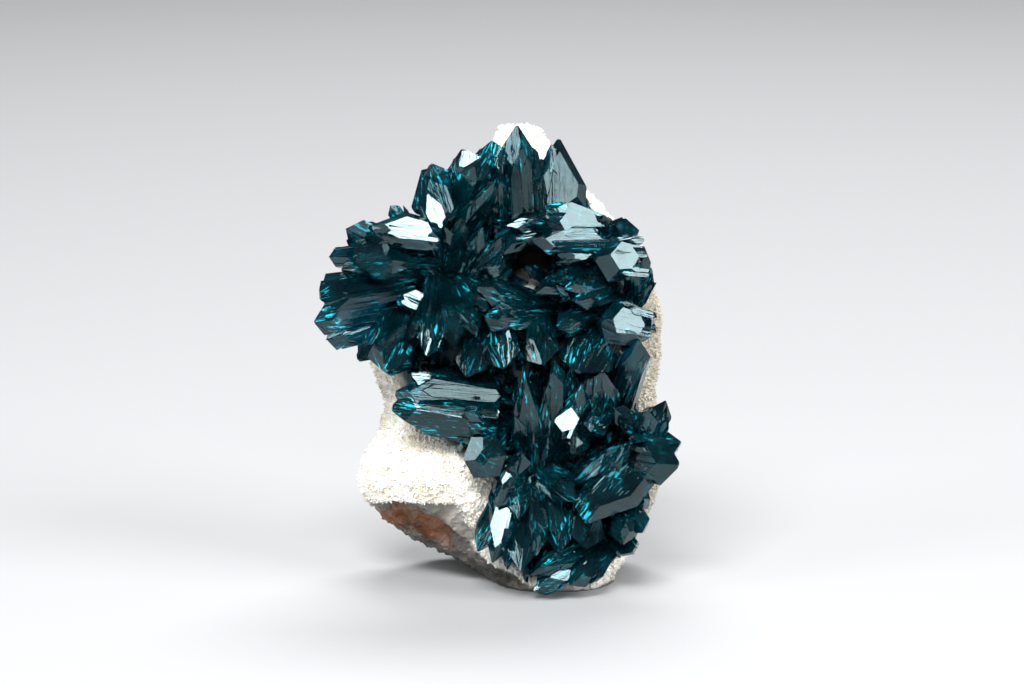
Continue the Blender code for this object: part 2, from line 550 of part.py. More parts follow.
def base_plane(planes, crystal, foot, rock):
    """A flat base, GAP over the rock below it, at the slope that leaves the most of the crystal."""
    normals = np.array([tuple(normal) for normal, _ in planes])
    reach = np.array([distance for _, distance in planes])
    below = rock.places[(rock.places @ normals.T <= reach + GAP).all(axis=1)]
    _, _, out, along = crystal_axes(crystal, foot)
    slopes = [OUTWARDS, out, (OUTWARDS + along).normalized()]
    for radius in (1.5, FOOT_REACH, 2 * FOOT_REACH):
        up = Vector((0, 0, 0))
        for _, normal, _, _ in rock.tree.find_nearest_range(foot, radius):
            up += normal
        if up.length > 0.1:
            slopes.append(up.normalized())
    best, most = None, -1.0
    for up in slopes:
        top = (below @ np.array(up)).max() if len(below) else foot.dot(up) - BURIED
        base = (-up, -(top + GAP))
        left = volume(*convex_solid(planes + [base]))
        if left > most:
            best, most = base, left
    return best


def spray_solids(crystals, rock, seed):
    """The planes of every crystal of a spray, each with a point that it should keep."""
    solids = []
    for index, crystal in enumerate(crystals):
        foot = front_of(rock, *crystal.foot) + OUTWARDS * (FOOT_LIFT + crystal.rise)
        planes = crystal_planes(crystal, foot, seed * 100 + index)
        solids.append((planes + [base_plane(planes, crystal, foot, rock)], foot))
    return solids


def ends_at(planes, foot, other):
    """The planes of a crystal that ends where it meets another one, GAP short of it."""
    grown = [(normal, distance + GAP) for normal, distance in other]
    shared, shared_faces = convex_solid(planes + grown)
    if volume(shared, shared_faces) < 1e-4:
        return planes
    best, most = planes, -1.0
    for normal, distance in grown:
        trimmed = planes + [(-normal, -distance)]
        left = volume(*convex_solid(trimmed))
        if normal.dot(foot) < distance + 0.1:
            left *= AWAY_FROM_FOOT
        if left > most:
            best, most = trimmed, left
    return best


def bounds_of(planes):
    points, _ = convex_solid(planes)
    if len(points) == 0:
        return None
    return points.min(axis=0), points.max(axis=0)


def near(a, b):
    return bool((a[0] - GAP <= b[1]).all() and (b[0] - GAP <= a[1]).all())


def trimmed_sprays(rock):
    """Every spray's solids, each later spray ending where it meets the earlier ones."""
    done = []
    sprays = {}
    for seed, (name, crystals) in enumerate(SPRAYS.items()):
        kept = []
        for planes, foot in spray_solids(crystals + small_blades(name, rock), rock, seed):
            box = bounds_of(planes)
            whole = volume(*convex_solid(planes))
            for other, other_box in done:
                if box and near(box, other_box):
                    planes = ends_at(planes, foot, other)
                    box = bounds_of(planes)
            left = volume(*convex_solid(planes))
            if left > LEAST_LEFT * whole:
                kept.append(planes)
        done += [(planes, bounds_of(planes)) for planes in kept]
        sprays[name] = kept
    return sprays


def boolean(target, operation, tools):
    """Joins a collection of tools to an object, or cuts them from it, and keeps the result as its mesh."""
    group = bpy.data.collections.new("tools")
    for tool in tools:
        group.objects.link(tool)
    modifier = target.modifiers.new("shape", "BOOLEAN")
    modifier.operation = operation
    modifier.solver = "EXACT"
    modifier.operand_type = "COLLECTION"
    modifier.collection = group
    graph = bpy.context.evaluated_depsgraph_get()
    result = bpy.data.meshes.new_from_object(target.evaluated_get(graph))
    target.modifiers.remove(modifier)
    target.data = result
    for tool in tools:
        bpy.data.objects.remove(tool)
    bpy.data.collections.remove(group)


def keep_largest_body(target):
    """Drops the crumbs that a cut leaves loose."""
    mesh = bmesh.new()
    mesh.from_mesh(target.data)
    unseen = set(mesh.verts)
    bodies = []
    while unseen:
        body, edge_of_body = set(), [unseen.pop()]
        while edge_of_body:
            vertex = edge_of_body.pop()
            body.add(vertex)
            for edge in vertex.link_edges:
                other = edge.other_vert(vertex)
                if other in unseen:
                    unseen.remove(other)
                    edge_of_body.append(other)
        bodies.append(body)
    bodies.sort(key=len)
    loose = [vertex for body in bodies[:-1] for vertex in body]
    bmesh.ops.delete(mesh, geom=loose, context="VERTS")
    mesh.to_mesh(target.data)
    mesh.free()


def rock_places(mesh):
    """Places all over the rock: its corners, and the middles of its faces and edges."""
    places = [tuple(vertex.co) for vertex in mesh.verts]
    places += [tuple(face.calc_center_median()) for face in mesh.faces]
    places += [tuple((edge.verts[0].co + edge.verts[1].co) / 2) for edge in mesh.edges]
    return np.array(places)


def build():
    for old in list(bpy.data.objects):
        bpy.data.objects.remove(old)
    crystal_look = material("veszelyite", CRYSTAL_COLOUR, 0.12)
    rock_look = material("drusy_rock", ROCK_COLOUR, 0.75)

    mesh = rock_mesh()
    mesh.verts.index_update()
    points = [tuple(vertex.co) for vertex in mesh.verts]
    faces = [[vertex.index for vertex in face.verts] for face in mesh.faces]
    rock = Rock(BVHTree.FromBMesh(mesh), rock_places(mesh))
    mesh.free()
    matrix_rock = mesh_object("matrix_rock", points, faces)
    matrix_rock.data.materials.append(rock_look)

    for name, solids in trimmed_sprays(rock).items():
        pieces = [convex_object("piece", planes) for planes in solids]
        spray, others = pieces[0], pieces[1:]
        spray.name = name
        if others:
            boolean(spray, "UNION", others)
        keep_largest_body(spray)
        spray.data.materials.clear()
        spray.data.materials.append(crystal_look)
    for made in bpy.data.objects:
        made.data.transform(Matrix.Scale(MM, 4))


build()
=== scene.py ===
"""The looks of a veszelyite specimen: glassy blue-green blades, striated and stepped, on a sugary white rock.

Places are given on the display side in millimetres: u to the right, v up the face, w out of it. The crystals
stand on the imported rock, so their feet are found on its surface.
"""

import itertools
import math
import random
from collections import namedtuple

import bmesh
import bpy
import numpy as np
from mathutils import Matrix, Vector, noise
from mathutils.bvhtree import BVHTree


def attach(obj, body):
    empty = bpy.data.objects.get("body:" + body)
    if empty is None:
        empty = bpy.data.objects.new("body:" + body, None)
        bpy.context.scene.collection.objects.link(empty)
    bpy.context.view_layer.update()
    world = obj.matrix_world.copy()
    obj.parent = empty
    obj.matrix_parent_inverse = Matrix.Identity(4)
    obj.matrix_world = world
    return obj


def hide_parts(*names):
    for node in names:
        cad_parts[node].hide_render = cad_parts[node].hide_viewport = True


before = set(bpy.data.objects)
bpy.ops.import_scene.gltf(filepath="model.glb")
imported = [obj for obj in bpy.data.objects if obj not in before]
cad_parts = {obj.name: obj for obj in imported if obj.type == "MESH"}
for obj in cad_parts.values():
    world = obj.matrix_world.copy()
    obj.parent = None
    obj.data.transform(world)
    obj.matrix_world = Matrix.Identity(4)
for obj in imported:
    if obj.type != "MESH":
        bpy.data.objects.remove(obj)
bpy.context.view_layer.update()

MM = 0.001
LEAN_DEG = 12.0
FOOT_MIDDLE = (3.5, -0.9, -0.45)  # the foot's middle, right of, behind and above the display side's origin

# Crystals
EDGE_FLAT = 0.62  # width of a blade's flat face as a share of its whole width
WAIST = 0.80  # width at the foot as a share of the width at the shoulders
BURIED = 2.5  # how far a crystal's axis runs on below its foot point, into the rock
LOWER_END = 0.35  # length of a free lower end as a share of the crystal's width
FOOT_LIFT = 0.9  # height of a crystal's foot point over the rock
WORN = 0.055  # how much of every point is missing, as a share of the crystal's width
WORN_FACE = (0.1, 0.15, 1)  # outward direction of the small face there, in the crystal's own axes
REAR_SLOPE = 0.6  # slope of the two rear faces at the tip, as a share of that of the front ones
LOWER_SLOPE = 0.7  # the same for the front and rear faces of a free lower end
PLANE_TILT = 0.035  # each face leans this much from the ideal form
NARROW = 2.5  # a crystal narrower than this has one narrow face on each side instead of two
MERGE = 0.002  # corners closer than this are one corner
LATH_TURN = math.radians(6.0)  # how far a narrow crystal is turned against the one it grows along
SAME_FACE = math.radians(0.3)  # two faces that differ by less than this are one face
GRAIN_SHIFT = 7.31  # keeps the lines of one crystal apart from those of the next
LOOKS = 97  # the crystals are numbered up to this, and each number gives its own shine and its share of flaws and painted glints

# The narrow crystals along a blade (laths) and those that fan out from its foot (fellows). Each range
# is a share of the blade's width, thickness or length.
LATH_PLACE = (-0.40, 0.40)
LATH_END = (-0.20, 0.06)
LATH_WIDE = (0.08, 0.30)
LATH_THICK = (0.78, 1.16)
LATH_SHOULDERS = ((0.5, 2.0), (0.4, 1.6))
FELLOW_WIDE = (0.22, 0.48)
FELLOW_THICK = (0.40, 0.75)
FELLOW_LEAST = (0.5, 0.35)  # least width and thickness, in millimetres
FELLOW_LENGTH = (0.55, 0.95)
FELLOW_SPREAD = (0.05, 0.26)  # lean to one side or the other
FELLOW_LEAN = (-0.10, 0.14)  # lean out of the blade's face
FELLOW_SHOULDERS = ((0.8, 2.4), (0.6, 1.8))

Blade = namedtuple("Blade", "foot tip wide thick turn left right chisel blunt laths fellows rise")


def blade(
    foot, tip, wide, thick, turn=0.0, left=None, right=None,
    chisel=None, blunt=0.0, laths=None, fellows=1, rise=0.0,
):
    """One crystal: foot (u, v) on the rock, tip (u, v, w) in the air, and its width and thickness.

    turn swings the broad face round the crystal's axis, in degrees. left and right say how far below the
    tip the two shoulders are, chisel how far below it the broad faces end, and blunt how much of the point
    is missing. laths counts the narrow crystals grown along it, fellows those that fan out from its foot.
    rise lifts the foot off the rock, for a crystal that has grown on top of others.
    """
    left = wide * 0.9 if left is None else left
    right = wide * 0.9 if right is None else right
    chisel = thick * 0.9 if chisel is None else chisel
    laths = round(1 + wide * 1.3) if laths is None else laths
    return Blade(foot, tip, wide, thick, turn, left, right, chisel, blunt, laths, fellows, rise)


# The crystals: foot, tip, width, thickness, turn, and how far below the tip the left and right shoulders are
SPRAYS = {}
SPRAYS["right_plate_spray"] = [
    blade((15.0, 13.0), (7.3, 4.8, 13.0), 5.4, 2.2, 8, 5.2, 1.0, laths=1, fellows=0, rise=5.0),
    blade((6.6, 8.0), (12.1, 13.2, 10.9), 5.0, 3.0, -31, 6.0, 3.0, laths=3, fellows=0),
    blade((11.6, 11.6), (16.9, 10.6, 10.2), 5.0, 2.4, 10, 2.2, 1.8, laths=8, fellows=0, rise=2.0),
    blade((8.2, 7.6), (11.9, 12.9, 12.2), 2.4, 1.8, 14, 5.0, 3.5, laths=1, fellows=0),
    blade((13.3, 12.2), (15.4, 17.1, 9.8), 2.8, 2.0, 20, 1.6, 2.0, rise=1.0),
    blade((13.2, 11.6), (17.0, 12.9, 9.4), 3.0, 2.2, -15, 1.7, 2.2, laths=6),
    blade((13.0, 13.0), (10.2, 16.3, 12.4), 2.0, 1.5, 20, 1.6, 1.2),
    blade((12.8, 12.2), (13.6, 16.1, 11.2), 2.4, 1.8, -10, 1.2, 1.4),
]
SPRAYS["spear_spray"] = [
    blade((2.4, 10.6), (1.1, 20.7, 13.2), 3.8, 1.6, 8, 6.5, 9.5, laths=5),
    blade((4.1, 12.0), (4.2, 21.1, 12.2), 2.2, 1.3, -12, 4.0, 1.2),
    blade((5.0, 15.2), (5.9, 20.5, 10.8), 1.7, 1.1, 10, 2.6, 1.4),
    blade((1.6, 10.8), (0.2, 15.6, 12.4), 1.8, 1.0, -20, 2.6, 2.0),
    blade((2.6, 8.9), (2.1, 13.8, 13.2), 1.1, 0.7, -25, 2.6, 2.2),
    blade((3.4, 10.0), (3.9, 13.9, 13.0), 1.4, 0.8, 18, 2.2, 1.8),
]
SPRAYS["left_tablet"] = [
    blade(
        (-1.4, 14.8), (-12.3, 16.2, 9.8), 5.2, 3.2, -34, 5.4, 1.6,
        chisel=1.8, laths=2, fellows=0, rise=2.4,
    ),
    blade(
        (-1.0, 16.8), (-11.9, 17.9, 10.4), 4.8, 2.8, 10, 1.6, 3.6,
        chisel=1.6, laths=3, fellows=0, rise=2.4,
    ),
    blade((-2.4, 17.6), (-10.2, 19.8, 10.6), 3.0, 2.2, 44, 1.0, 2.8, laths=2, fellows=0),
    blade((-0.9, 15.0), (-4.8, 16.0, 13.6), 1.8, 1.2, 25, 1.0, 1.0),
    blade((-0.6, 14.0), (-4.4, 14.8, 13.3), 1.8, 1.2, 15, 1.2, 1.0),
]
SPRAYS["left_spray"] = [
    blade((-6.8, 33.4), (-14.3, 34.5, 10.6), 4.0, 2.0, 18, 2.4, 3.4, laths=2, fellows=0, rise=4.8),
    blade((-8.0, 31.6), (-15.8, 31.0, 13.2), 5.0, 3.0, 34, 1.8, 1.6, laths=4),
    blade((-9.8, 31.6), (-16.6, 34.2, 10.9), 3.6, 2.0, -35, 1.6, 1.0),
    blade((-10.0, 31.4), (-18.3, 31.4, 10.4), 2.0, 1.7, 10, 0.7, 0.8),
    blade((-10.0, 30.8), (-17.1, 30.1, 10.6), 1.7, 1.5, -20, 0.7, 0.6),
    blade((-9.6, 32.8), (-12.2, 36.6, 9.4), 1.5, 1.2, 0, 0.8, 0.7),
]
SPRAYS["crown_spray"] = [
    blade((4.9, 34.8), (4.7, 43.5, 9.2), 5.4, 2.8, 1, 3.6, 5.0, chisel=1.6, laths=5, fellows=0, rise=3.0),
    blade((1.1, 35.6), (0.5, 44.8, 9.0), 3.8, 3.0, 12, 2.6, 3.6, chisel=2.6, laths=9),
    blade((3.0, 35.2), (2.9, 41.3, 10.6), 1.3, 2.6, 8, 1.2, 0.8, laths=1, fellows=0),
    blade((4.1, 35.0), (3.9, 42.7, 10.9), 1.0, 2.8, -6, 1.0, 0.6, laths=0, fellows=0),
    blade((6.0, 35.0), (6.8, 39.6, 8.4), 2.2, 1.6, 24, 1.4, 1.8),
]
SPRAYS["upper_left_spray"] = [
    blade((-7.0, 35.0), (-9.0, 40.4, 9.6), 4.8, 2.0, 4, 3.6, 1.4, laths=3, fellows=0, rise=3.8),
    blade((-6.6, 35.4), (-8.1, 40.8, 10.4), 3.2, 1.6, 22, 1.2, 1.8),
    blade((-6.6, 35.0), (-6.7, 40.3, 9.0), 1.9, 1.5, 12, 0.8, 1.0),
    blade((-7.0, 34.0), (-8.8, 38.4, 10.8), 1.9, 1.2, 6, 2.2, 1.6, laths=1, fellows=0, rise=5.4),
    blade((-6.0, 34.7), (-2.6, 41.6, 12.0), 3.4, 1.6, -30, 3.4, 1.6, laths=2, fellows=0),
    blade((-5.8, 32.4), (-1.7, 38.8, 13.4), 2.4, 1.1, 46, 3.6, 2.0),
    blade((-3.8, 34.4), (-1.9, 43.2, 9.4), 4.4, 1.9, -14, 2.6, 1.3),
    blade((-4.6, 34.6), (-5.0, 42.4, 8.8), 4.2, 1.9, -26, 2.6, 0.9),
    blade((-1.0, 33.6), (-1.4, 40.4, 10.6), 2.6, 1.4, 16, 2.8, 2.0, laths=4),
    blade((-0.6, 34.2), (-0.9, 41.9, 8.9), 1.5, 1.2, -10, 1.2, 1.0),
]
SPRAYS["upper_right_spray"] = [
    blade((8.8, 33.8), (3.4, 34.9, 12.2), 2.4, 1.3, 17, 1.0, 0.8, laths=2, rise=3.6),
    blade((8.8, 34.4), (3.2, 36.4, 11.6), 2.2, 1.3, 20, 1.2, 1.0, laths=2, rise=3.2),
    blade((9.2, 33.2), (1.9, 33.0, 12.9), 3.0, 1.4, 13, 1.6, 3.6, laths=5, rise=4.2),
    blade((6.4, 34.4), (-0.6, 34.5, 10.8), 1.8, 1.2, -20, 1.4, 1.6, rise=2.2),
    blade((6.4, 33.8), (0.4, 33.2, 11.2), 1.6, 1.1, -28, 1.6, 1.2, rise=2.4),
    blade((2.8, 35.4), (-0.9, 31.6, 10.6), 2.0, 1.3, 12, 1.6, 2.2, rise=1.0),
    blade((9.6, 32.6), (4.4, 31.6, 12.4), 2.2, 1.3, 6, 1.0, 1.6, laths=1, rise=3.4),
    blade((9.0, 32.2), (8.6, 32.9, 11.4), 2.8, 2.2, 0, laths=1, fellows=0),
    blade((7.3, 33.4), (6.9, 36.9, 10.0), 2.4, 1.8, 10, 1.4, 1.6),
    blade((9.0, 32.6), (9.1, 35.6, 10.2), 2.2, 1.8, -8, 1.0, 1.0),
    blade((10.4, 31.0), (11.2, 35.5, 9.0), 3.6, 2.2, 5, 1.1, 1.4),
    blade((13.0, 31.0), (8.1, 31.3, 12.3), 4.8, 2.6, 15, 1.6, 2.4, chisel=1.2, laths=6, fellows=2, rise=5.6),
    blade((11.9, 27.2), (13.2, 32.6, 9.8), 2.3, 1.8, 12, 1.2, 2.0),
    blade((12.0, 26.6), (14.0, 30.4, 8.6), 2.1, 1.7, 20, 1.0, 1.6),
    blade((12.0, 27.2), (12.1, 30.3, 11.6), 1.7, 1.2, -20, 1.4, 1.0),
]
SPRAYS["right_spray"] = [
    blade((8.6, 30.4), (2.3, 27.7, 13.2), 2.1, 1.3, 22, 2.4, 2.0),
    blade((9.6, 30.2), (4.2, 28.9, 13.8), 2.2, 1.3, 18, 2.2, 1.6),
    blade((11.0, 29.6), (5.2, 28.1, 14.2), 2.2, 1.3, 28, 2.2, 1.8),
    blade((11.0, 28.6), (6.2, 27.0, 13.6), 2.6, 1.6, 0, 1.6, 2.0),
    blade((8.2, 26.8), (4.4, 28.5, 12.9), 1.7, 1.1, 10, 1.4, 1.2),
    blade((9.0, 26.2), (4.4, 24.4, 13.2), 2.6, 1.8, 24, 1.0, 1.8),
    blade((13.6, 24.2), (8.7, 25.2, 12.4), 4.6, 2.4, 14, 1.0, 1.6, chisel=0.8, laths=5, fellows=1, rise=4.4),
    blade((11.3, 25.2), (10.7, 24.8, 11.4), 2.8, 2.0, 25, laths=1, fellows=0),
    blade((9.4, 23.8), (6.4, 19.8, 12.2), 5.6, 3.2, 22, 2.0, 1.6, laths=6, fellows=0),
    blade((12.2, 25.2), (13.9, 24.2, 9.6), 3.0, 2.0, 8, 1.0, 1.4),
]
SPRAYS["left_wing_spray"] = [
    blade(
        (-10.0, 28.8), (-19.4, 27.3, 11.2), 3.6, 2.2, 24, 1.4, 0.9, blunt=0.3,
        laths=3, fellows=0, rise=2.0,
    ),
    blade((-11.4, 29.0), (-19.0, 28.6, 9.8), 3.0, 1.8, 40, 1.0, 1.0, fellows=0),
    blade((-10.6, 27.0), (-19.8, 24.9, 11.4), 3.4, 2.0, -24, 1.2, 1.4),
    blade((-11.4, 26.2), (-18.6, 23.2, 10.2), 3.0, 1.8, -16, 0.9, 1.1, fellows=0),
    blade((-11.0, 26.4), (-15.4, 20.9, 9.8), 4.0, 1.8, 28, 1.8, 2.6, laths=2, fellows=0),
    blade((-10.4, 26.4), (-12.7, 19.9, 12.0), 5.0, 2.8, 30, 1.6, 2.0, chisel=1.2, laths=1, fellows=0),
    blade((-8.2, 26.2), (-11.8, 27.9, 9.1), 2.1, 1.2, 18, 1.0, 0.8, laths=3, fellows=0, rise=3.3),
]
SPRAYS["centre_fan"] = [
    blade((-6.4, 29.6), (-3.5, 23.4, 13.6), 2.8, 1.5, -16, 2.6, 3.4, fellows=2),
    blade((-7.0, 29.4), (-5.6, 22.2, 14.4), 2.5, 1.5, -6, 2.8, 2.6, fellows=2),
    blade((-7.6, 29.2), (-8.4, 21.4, 14.2), 3.0, 1.8, -22, 2.2, 2.6, fellows=2),
    blade((-5.6, 29.2), (-2.4, 26.0, 12.6), 2.2, 1.3, 20, 1.8, 2.0, fellows=2),
    blade((-4.8, 28.8), (-1.1, 33.3, 13.4), 2.2, 1.1, -18, 2.8, 1.4),
    blade((-3.6, 28.2), (-0.9, 31.4, 13.9), 1.8, 1.1, 14, 2.2, 1.4),
    blade((-5.4, 29.4), (-2.9, 34.3, 13.2), 2.2, 1.2, -24, 2.6, 1.8),
    blade((-6.2, 29.6), (-4.6, 34.6, 13.0), 2.0, 1.2, 10, 2.2, 1.6),
    blade((-6.8, 29.8), (-6.7, 34.4, 12.2), 1.9, 1.4, -4, 1.2, 1.0),
]
SPRAYS["centre_spray"] = [
    blade((2.8, 26.2), (-3.6, 28.4, 12.4), 3.2, 1.8, 30, 2.2, 1.8),
    blade((3.2, 25.6), (-2.8, 25.4, 13.0), 3.2, 1.9, -16, 1.4, 2.0),
    blade((2.6, 25.2), (3.1, 20.6, 12.6), 3.6, 2.6, 12, 1.6, 1.4),
    blade((-1.4, 25.4), (-0.8, 20.2, 12.4), 3.8, 2.6, 20, 1.8, 1.6),
    blade((-2.6, 25.0), (-4.6, 19.3, 11.6), 3.4, 2.6, 14, 1.6, 1.8),
]
SPRAYS["shoulder_spray"] = [
    blade((8.8, 14.9), (9.1, 20.0, 11.8), 3.8, 1.8, 8, 1.6, 3.2, laths=7, fellows=2),
    blade((7.4, 15.4), (7.6, 19.3, 11.4), 2.0, 1.4, -14, 1.0, 1.2),
    blade((9.6, 15.8), (7.8, 14.0, 12.8), 2.4, 1.6, 18, 1.4, 1.2),
    blade((5.2, 13.2), (7.0, 18.8, 12.0), 2.2, 1.4, -28, 2.6, 1.8),
    blade((10.6, 17.0), (12.6, 23.3, 11.4), 3.6, 1.8, -14, 4.2, 1.4, laths=7),
    blade((6.2, 11.4), (6.4, 15.3, 10.4), 3.2, 2.2, 0, 1.4, 1.4, laths=3, fellows=0, rise=3.0),
    blade((4.9, 13.2), (6.5, 17.4, 10.4), 2.4, 1.6, -10, 2.0, 1.0, laths=1, fellows=0, rise=4.0),
]
SPRAYS["stub_crystal"] = [
    blade((-2.4, 12.0), (-2.8, 11.3, 13.2), 4.3, 4.0, 34, 0.9, 0.9, chisel=0.9, blunt=0.3, laths=8),
]
SPRAYS["lower_spray"] = [
    blade((-0.3, 7.8), (-2.0, 0.8, 12.0), 3.2, 1.7, 10, 2.2, 3.4, laths=2, fellows=0, rise=0.8),
    blade((-1.2, 6.6), (-3.5, 2.0, 12.0), 2.3, 1.6, 38, 1.6, 2.0),
    blade((0.9, 6.8), (0.9, 0.1, 13.6), 2.7, 1.7, -8, 2.0, 2.4),
    blade((0.2, 6.4), (-0.5, 0.2, 12.8), 1.8, 1.3, 18, 1.8, 2.0),
    blade((0.8, 11.0), (-1.6, 6.4, 11.9), 3.0, 1.8, 14, 1.4, 2.6, laths=6, rise=1.2),
    blade((0.6, 9.6), (0.7, 5.3, 13.6), 1.9, 1.4, -20, 2.0, 1.4),
    blade((0.0, 8.4), (0.9, 12.0, 12.6), 2.6, 1.6, -16, 1.6, 1.0),
    blade((2.2, 10.4), (6.4, 7.1, 13.8), 3.0, 1.6, 8, 2.4, 2.8),
    blade((2.2, 9.2), (2.4, 1.6, 12.6), 2.6, 1.9, -10, 2.0, 1.6),
    blade((4.2, 8.2), (4.7, 1.8, 12.2), 2.8, 2.0, 12, 1.6, 2.2),
    blade((7.4, 7.2), (7.3, 2.2, 11.6), 4.2, 2.4, -14, 1.8, 2.0, laths=3, fellows=0),
]
SPRAYS["foot_spray"] = [
    blade((10.2, 3.6), (1.8, -0.2, 13.6), 2.1, 1.5, 30, 1.8, 2.2),
    blade((9.8, 2.6), (2.4, -1.3, 13.0), 2.3, 1.6, 6, 1.6, 2.2),
    blade((10.2, 2.4), (5.7, -1.3, 12.4), 2.5, 1.6, -8, 1.6, 1.8),
    blade((7.4, 1.4), (2.0, -2.0, 11.6), 2.4, 1.7, -20, 1.4, 2.0),
    blade((10.4, 4.6), (11.3, 4.0, 12.6), 2.8, 2.2, 30, 0.8, 0.8, blunt=0.6),
    blade((11.8, 6.6), (13.0, 3.8, 10.4), 2.6, 1.8, 10, 1.4, 1.2),
    blade((10.6, 3.6), (12.0, 1.9, 10.6), 2.3, 1.6, 0, 1.0, 1.2),
    blade((12.2, 7.2), (13.3, 7.2, 10.0), 2.2, 1.8, 0, 0.8, 0.8),
]
SPRAYS["hollow_crystal"] = [
    blade((2.9, 29.3), (1.4, 30.6, 8.6), 1.4, 1.0, 20, 1.4, 1.0),
]

# Where the face is covered by crystals, as an outline of (u, v) points, and the open hollow in it
CRYSTAL_ZONE = [
    (-8.5, 38.0), (-3.0, 41.0), (2.5, 41.5), (6.5, 39.0), (9.5, 35.5), (12.5, 33.0), (13.0, 29.0),
    (12.8, 25.0), (12.2, 20.0), (13.0, 16.0), (14.2, 12.0), (12.8, 8.0), (12.4, 4.0), (10.0, 1.2),
    (5.0, -1.0), (1.0, -0.6), (-1.6, 1.6), (-2.2, 6.0), (-2.0, 9.5), (-4.5, 11.5), (-9.0, 14.5),
    (-11.0, 16.5), (-11.5, 19.5), (-12.4, 22.0), (-13.0, 27.0), (-12.0, 31.0), (-10.0, 35.0),
]
HOLLOW_MIDDLE = (2.2, 30.9)
HOLLOW_RADIUS = 2.3
HOLLOW_FLAT = 1.25  # how many times wider than high it is
HOLLOW_DEPTH = 4.5
GLIMPSE = (2.2, 29.3)  # white rock that shows at the lower edge of the hollow
GLIMPSE_REACH = (2.4, 1.2)
GLIMPSE_TOP = (30.6, 29.8)

# The crust of small crystals
CRUST_SEED = 5
CRUST_STEP = 1.15  # distance between two of them
CRUST_COLUMNS = range(-46, 46)
CRUST_ROWS = range(-4, 46)
CRUST_LENGTH = (1.6, 3.8)
CRUST_WIDE = (0.55, 1.5)
CRUST_THICK = (0.35, 0.7)  # as a share of the width
CRUST_LEAN = 0.45
CRUST_BURIED = 0.8  # how far they run on into the rock
CRUST_STEEP = 0.35  # none stand where the rock faces the viewer less than this

# Rock. LEDGE is the lower edge of the sugary front, from left to right
LEDGE = [(-17, 6.4), (-14.2, 5.6), (-11, 6.3), (-7.8, 5.2), (-5.5, 3.5), (-3.5, 2.0), (-2, 0.6), (2, -1.5)]
LEDGE_END = 3  # the underside shows only left of this
STAIN_LEFT = (-15.6, -14.4)  # the brown stain fades in between these, and out between the next two
STAIN_RIGHT = (-5.6, -7.6)
STAIN_BELOW = (3.0, 1.6)
STAIN_DEPTH = 1.2
WALL_FROM = (12.0, 13.6)  # the cream right-hand side, darkened with painted shade, begins between these, and ends upwards at the next two
WALL_TOP = (33.0, 29.0)
ROCK_VOXEL = 0.34  # distance between two points of the surface
ROCK_SEED = 11  # picks the leans of the flat breaks, so that each run gives the same rock
LUMP_HEIGHT = 0.55
BUMP_HEIGHT = 0.16
CRACK_DEPTH = 0.9
BREAK_SCALE = 0.26  # size of the flat breaks on the back, as breaks to a millimetre
BREAK_TILT = 0.55
BREAK_STEP = 0.5  # how far one break stands out over the next
SUNK = 0.25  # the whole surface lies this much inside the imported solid

# Quartz grains, in millimetres
GRAIN_SEED = 4
GRAIN_SHARE = 0.9  # share of the surface's small faces that carry a grain
GRAIN_SIZE = (0.16, 0.34)
GRAIN_HEIGHT = (0.15, 0.36)
GRAIN_SUNK = 0.12
GRAIN_STRAY = 0.06
GRAIN_LEAN = 0.35
GRAIN_SHADE = (0.93, 1.06)

# Colours of the rock
SUGAR_WHITE = (0.80, 0.785, 0.73)
# Partly the cream of the right-hand side, partly painted shade that darkens it
WALL_CREAM_AND_SHADE = (0.44, 0.405, 0.32)
SUGAR_CREAM = (0.78, 0.72, 0.60)
BROKEN_PALE = (0.62, 0.58, 0.51)
BROKEN_TAN = (0.42, 0.35, 0.27)
# Painted shade: the grey of the underside is near black, much darker than the grey rock itself, for the shade
# under the specimen
SHADED_GREY_PALE = (0.070, 0.066, 0.056)
SHADED_GREY_DARK = (0.028, 0.026, 0.022)
STAIN_BROWN = (0.20, 0.085, 0.035)
CRUST_TEAL = (0.006, 0.05, 0.06)
# Painted shade in the hollow among the crystals, laid over the white rock
HOLLOW_PAINTED_SHADE = (0.03, 0.025, 0.02)

# Glass of the crystals
DEEP_TEAL = (0.001, 0.06, 0.085)
BRIGHT_TEAL = (0.010, 0.20, 0.27)
# Partly the colour of real silky flaws, partly painted glints that stand for light reflected inside the
# crystals
FLAW_AND_GLINT_CYAN = (0.02, 0.80, 0.98)
SHINE_TINT = (0.70, 0.95, 1.0, 1.0)
PASSED_COLOUR = (0.01, 0.70, 0.75, 1.0)  # what the glass lets through
ABSORPTION = 2600.0  # to a metre
REFRACTION = 1.64
LINE_RELIEF = 0.00006  # height of the lines along a crystal, in metres
SUGAR_RELIEF = 0.0001  # the same for the finest sugar of the rock

# Stage. Each soft light has its name, its place and size in metres, and its power
LIGHTS = [
    ("key", (-0.12, -0.40, 0.52), (0.36, 0.24), 6.6),
    ("side", (0.50, -0.25, 0.34), (0.34, 0.36), 4.4),
    ("back", (0.06, 0.36, 0.52), (0.45, 0.20), 4.0),
    ("left", (-0.52, -0.22, 0.30), (0.24, 0.34), 1.6),
    ("front", (0.02, -0.60, 0.34), (0.22, 0.16), 0.7),
]
LIT_PLACE = (0, 0, 0.024)
STUDIO_COLOUR = (0.5, 0.52, 0.55, 1.0)
STUDIO_STRENGTH = 0.16
FLOOR_COLOUR = (0.36, 0.365, 0.375, 1.0)
FLOOR_HALF = 3
PICTURE_PIXELS = 1024
PIXEL = 0.1  # what one pixel of the picture spans on the specimen, in millimetres
CAMERA_DISTANCE = 420.0
LOOKED_AT = (0, 22.9, 10)  # the middle of the picture


# Places and directions


def row_direction(u, v, w):
    """A direction on the display side, in the row frame."""
    lean = math.radians(LEAN_DEG)
    return Vector((u, v * math.sin(lean) - w * math.cos(lean), v * math.cos(lean) + w * math.sin(lean)))


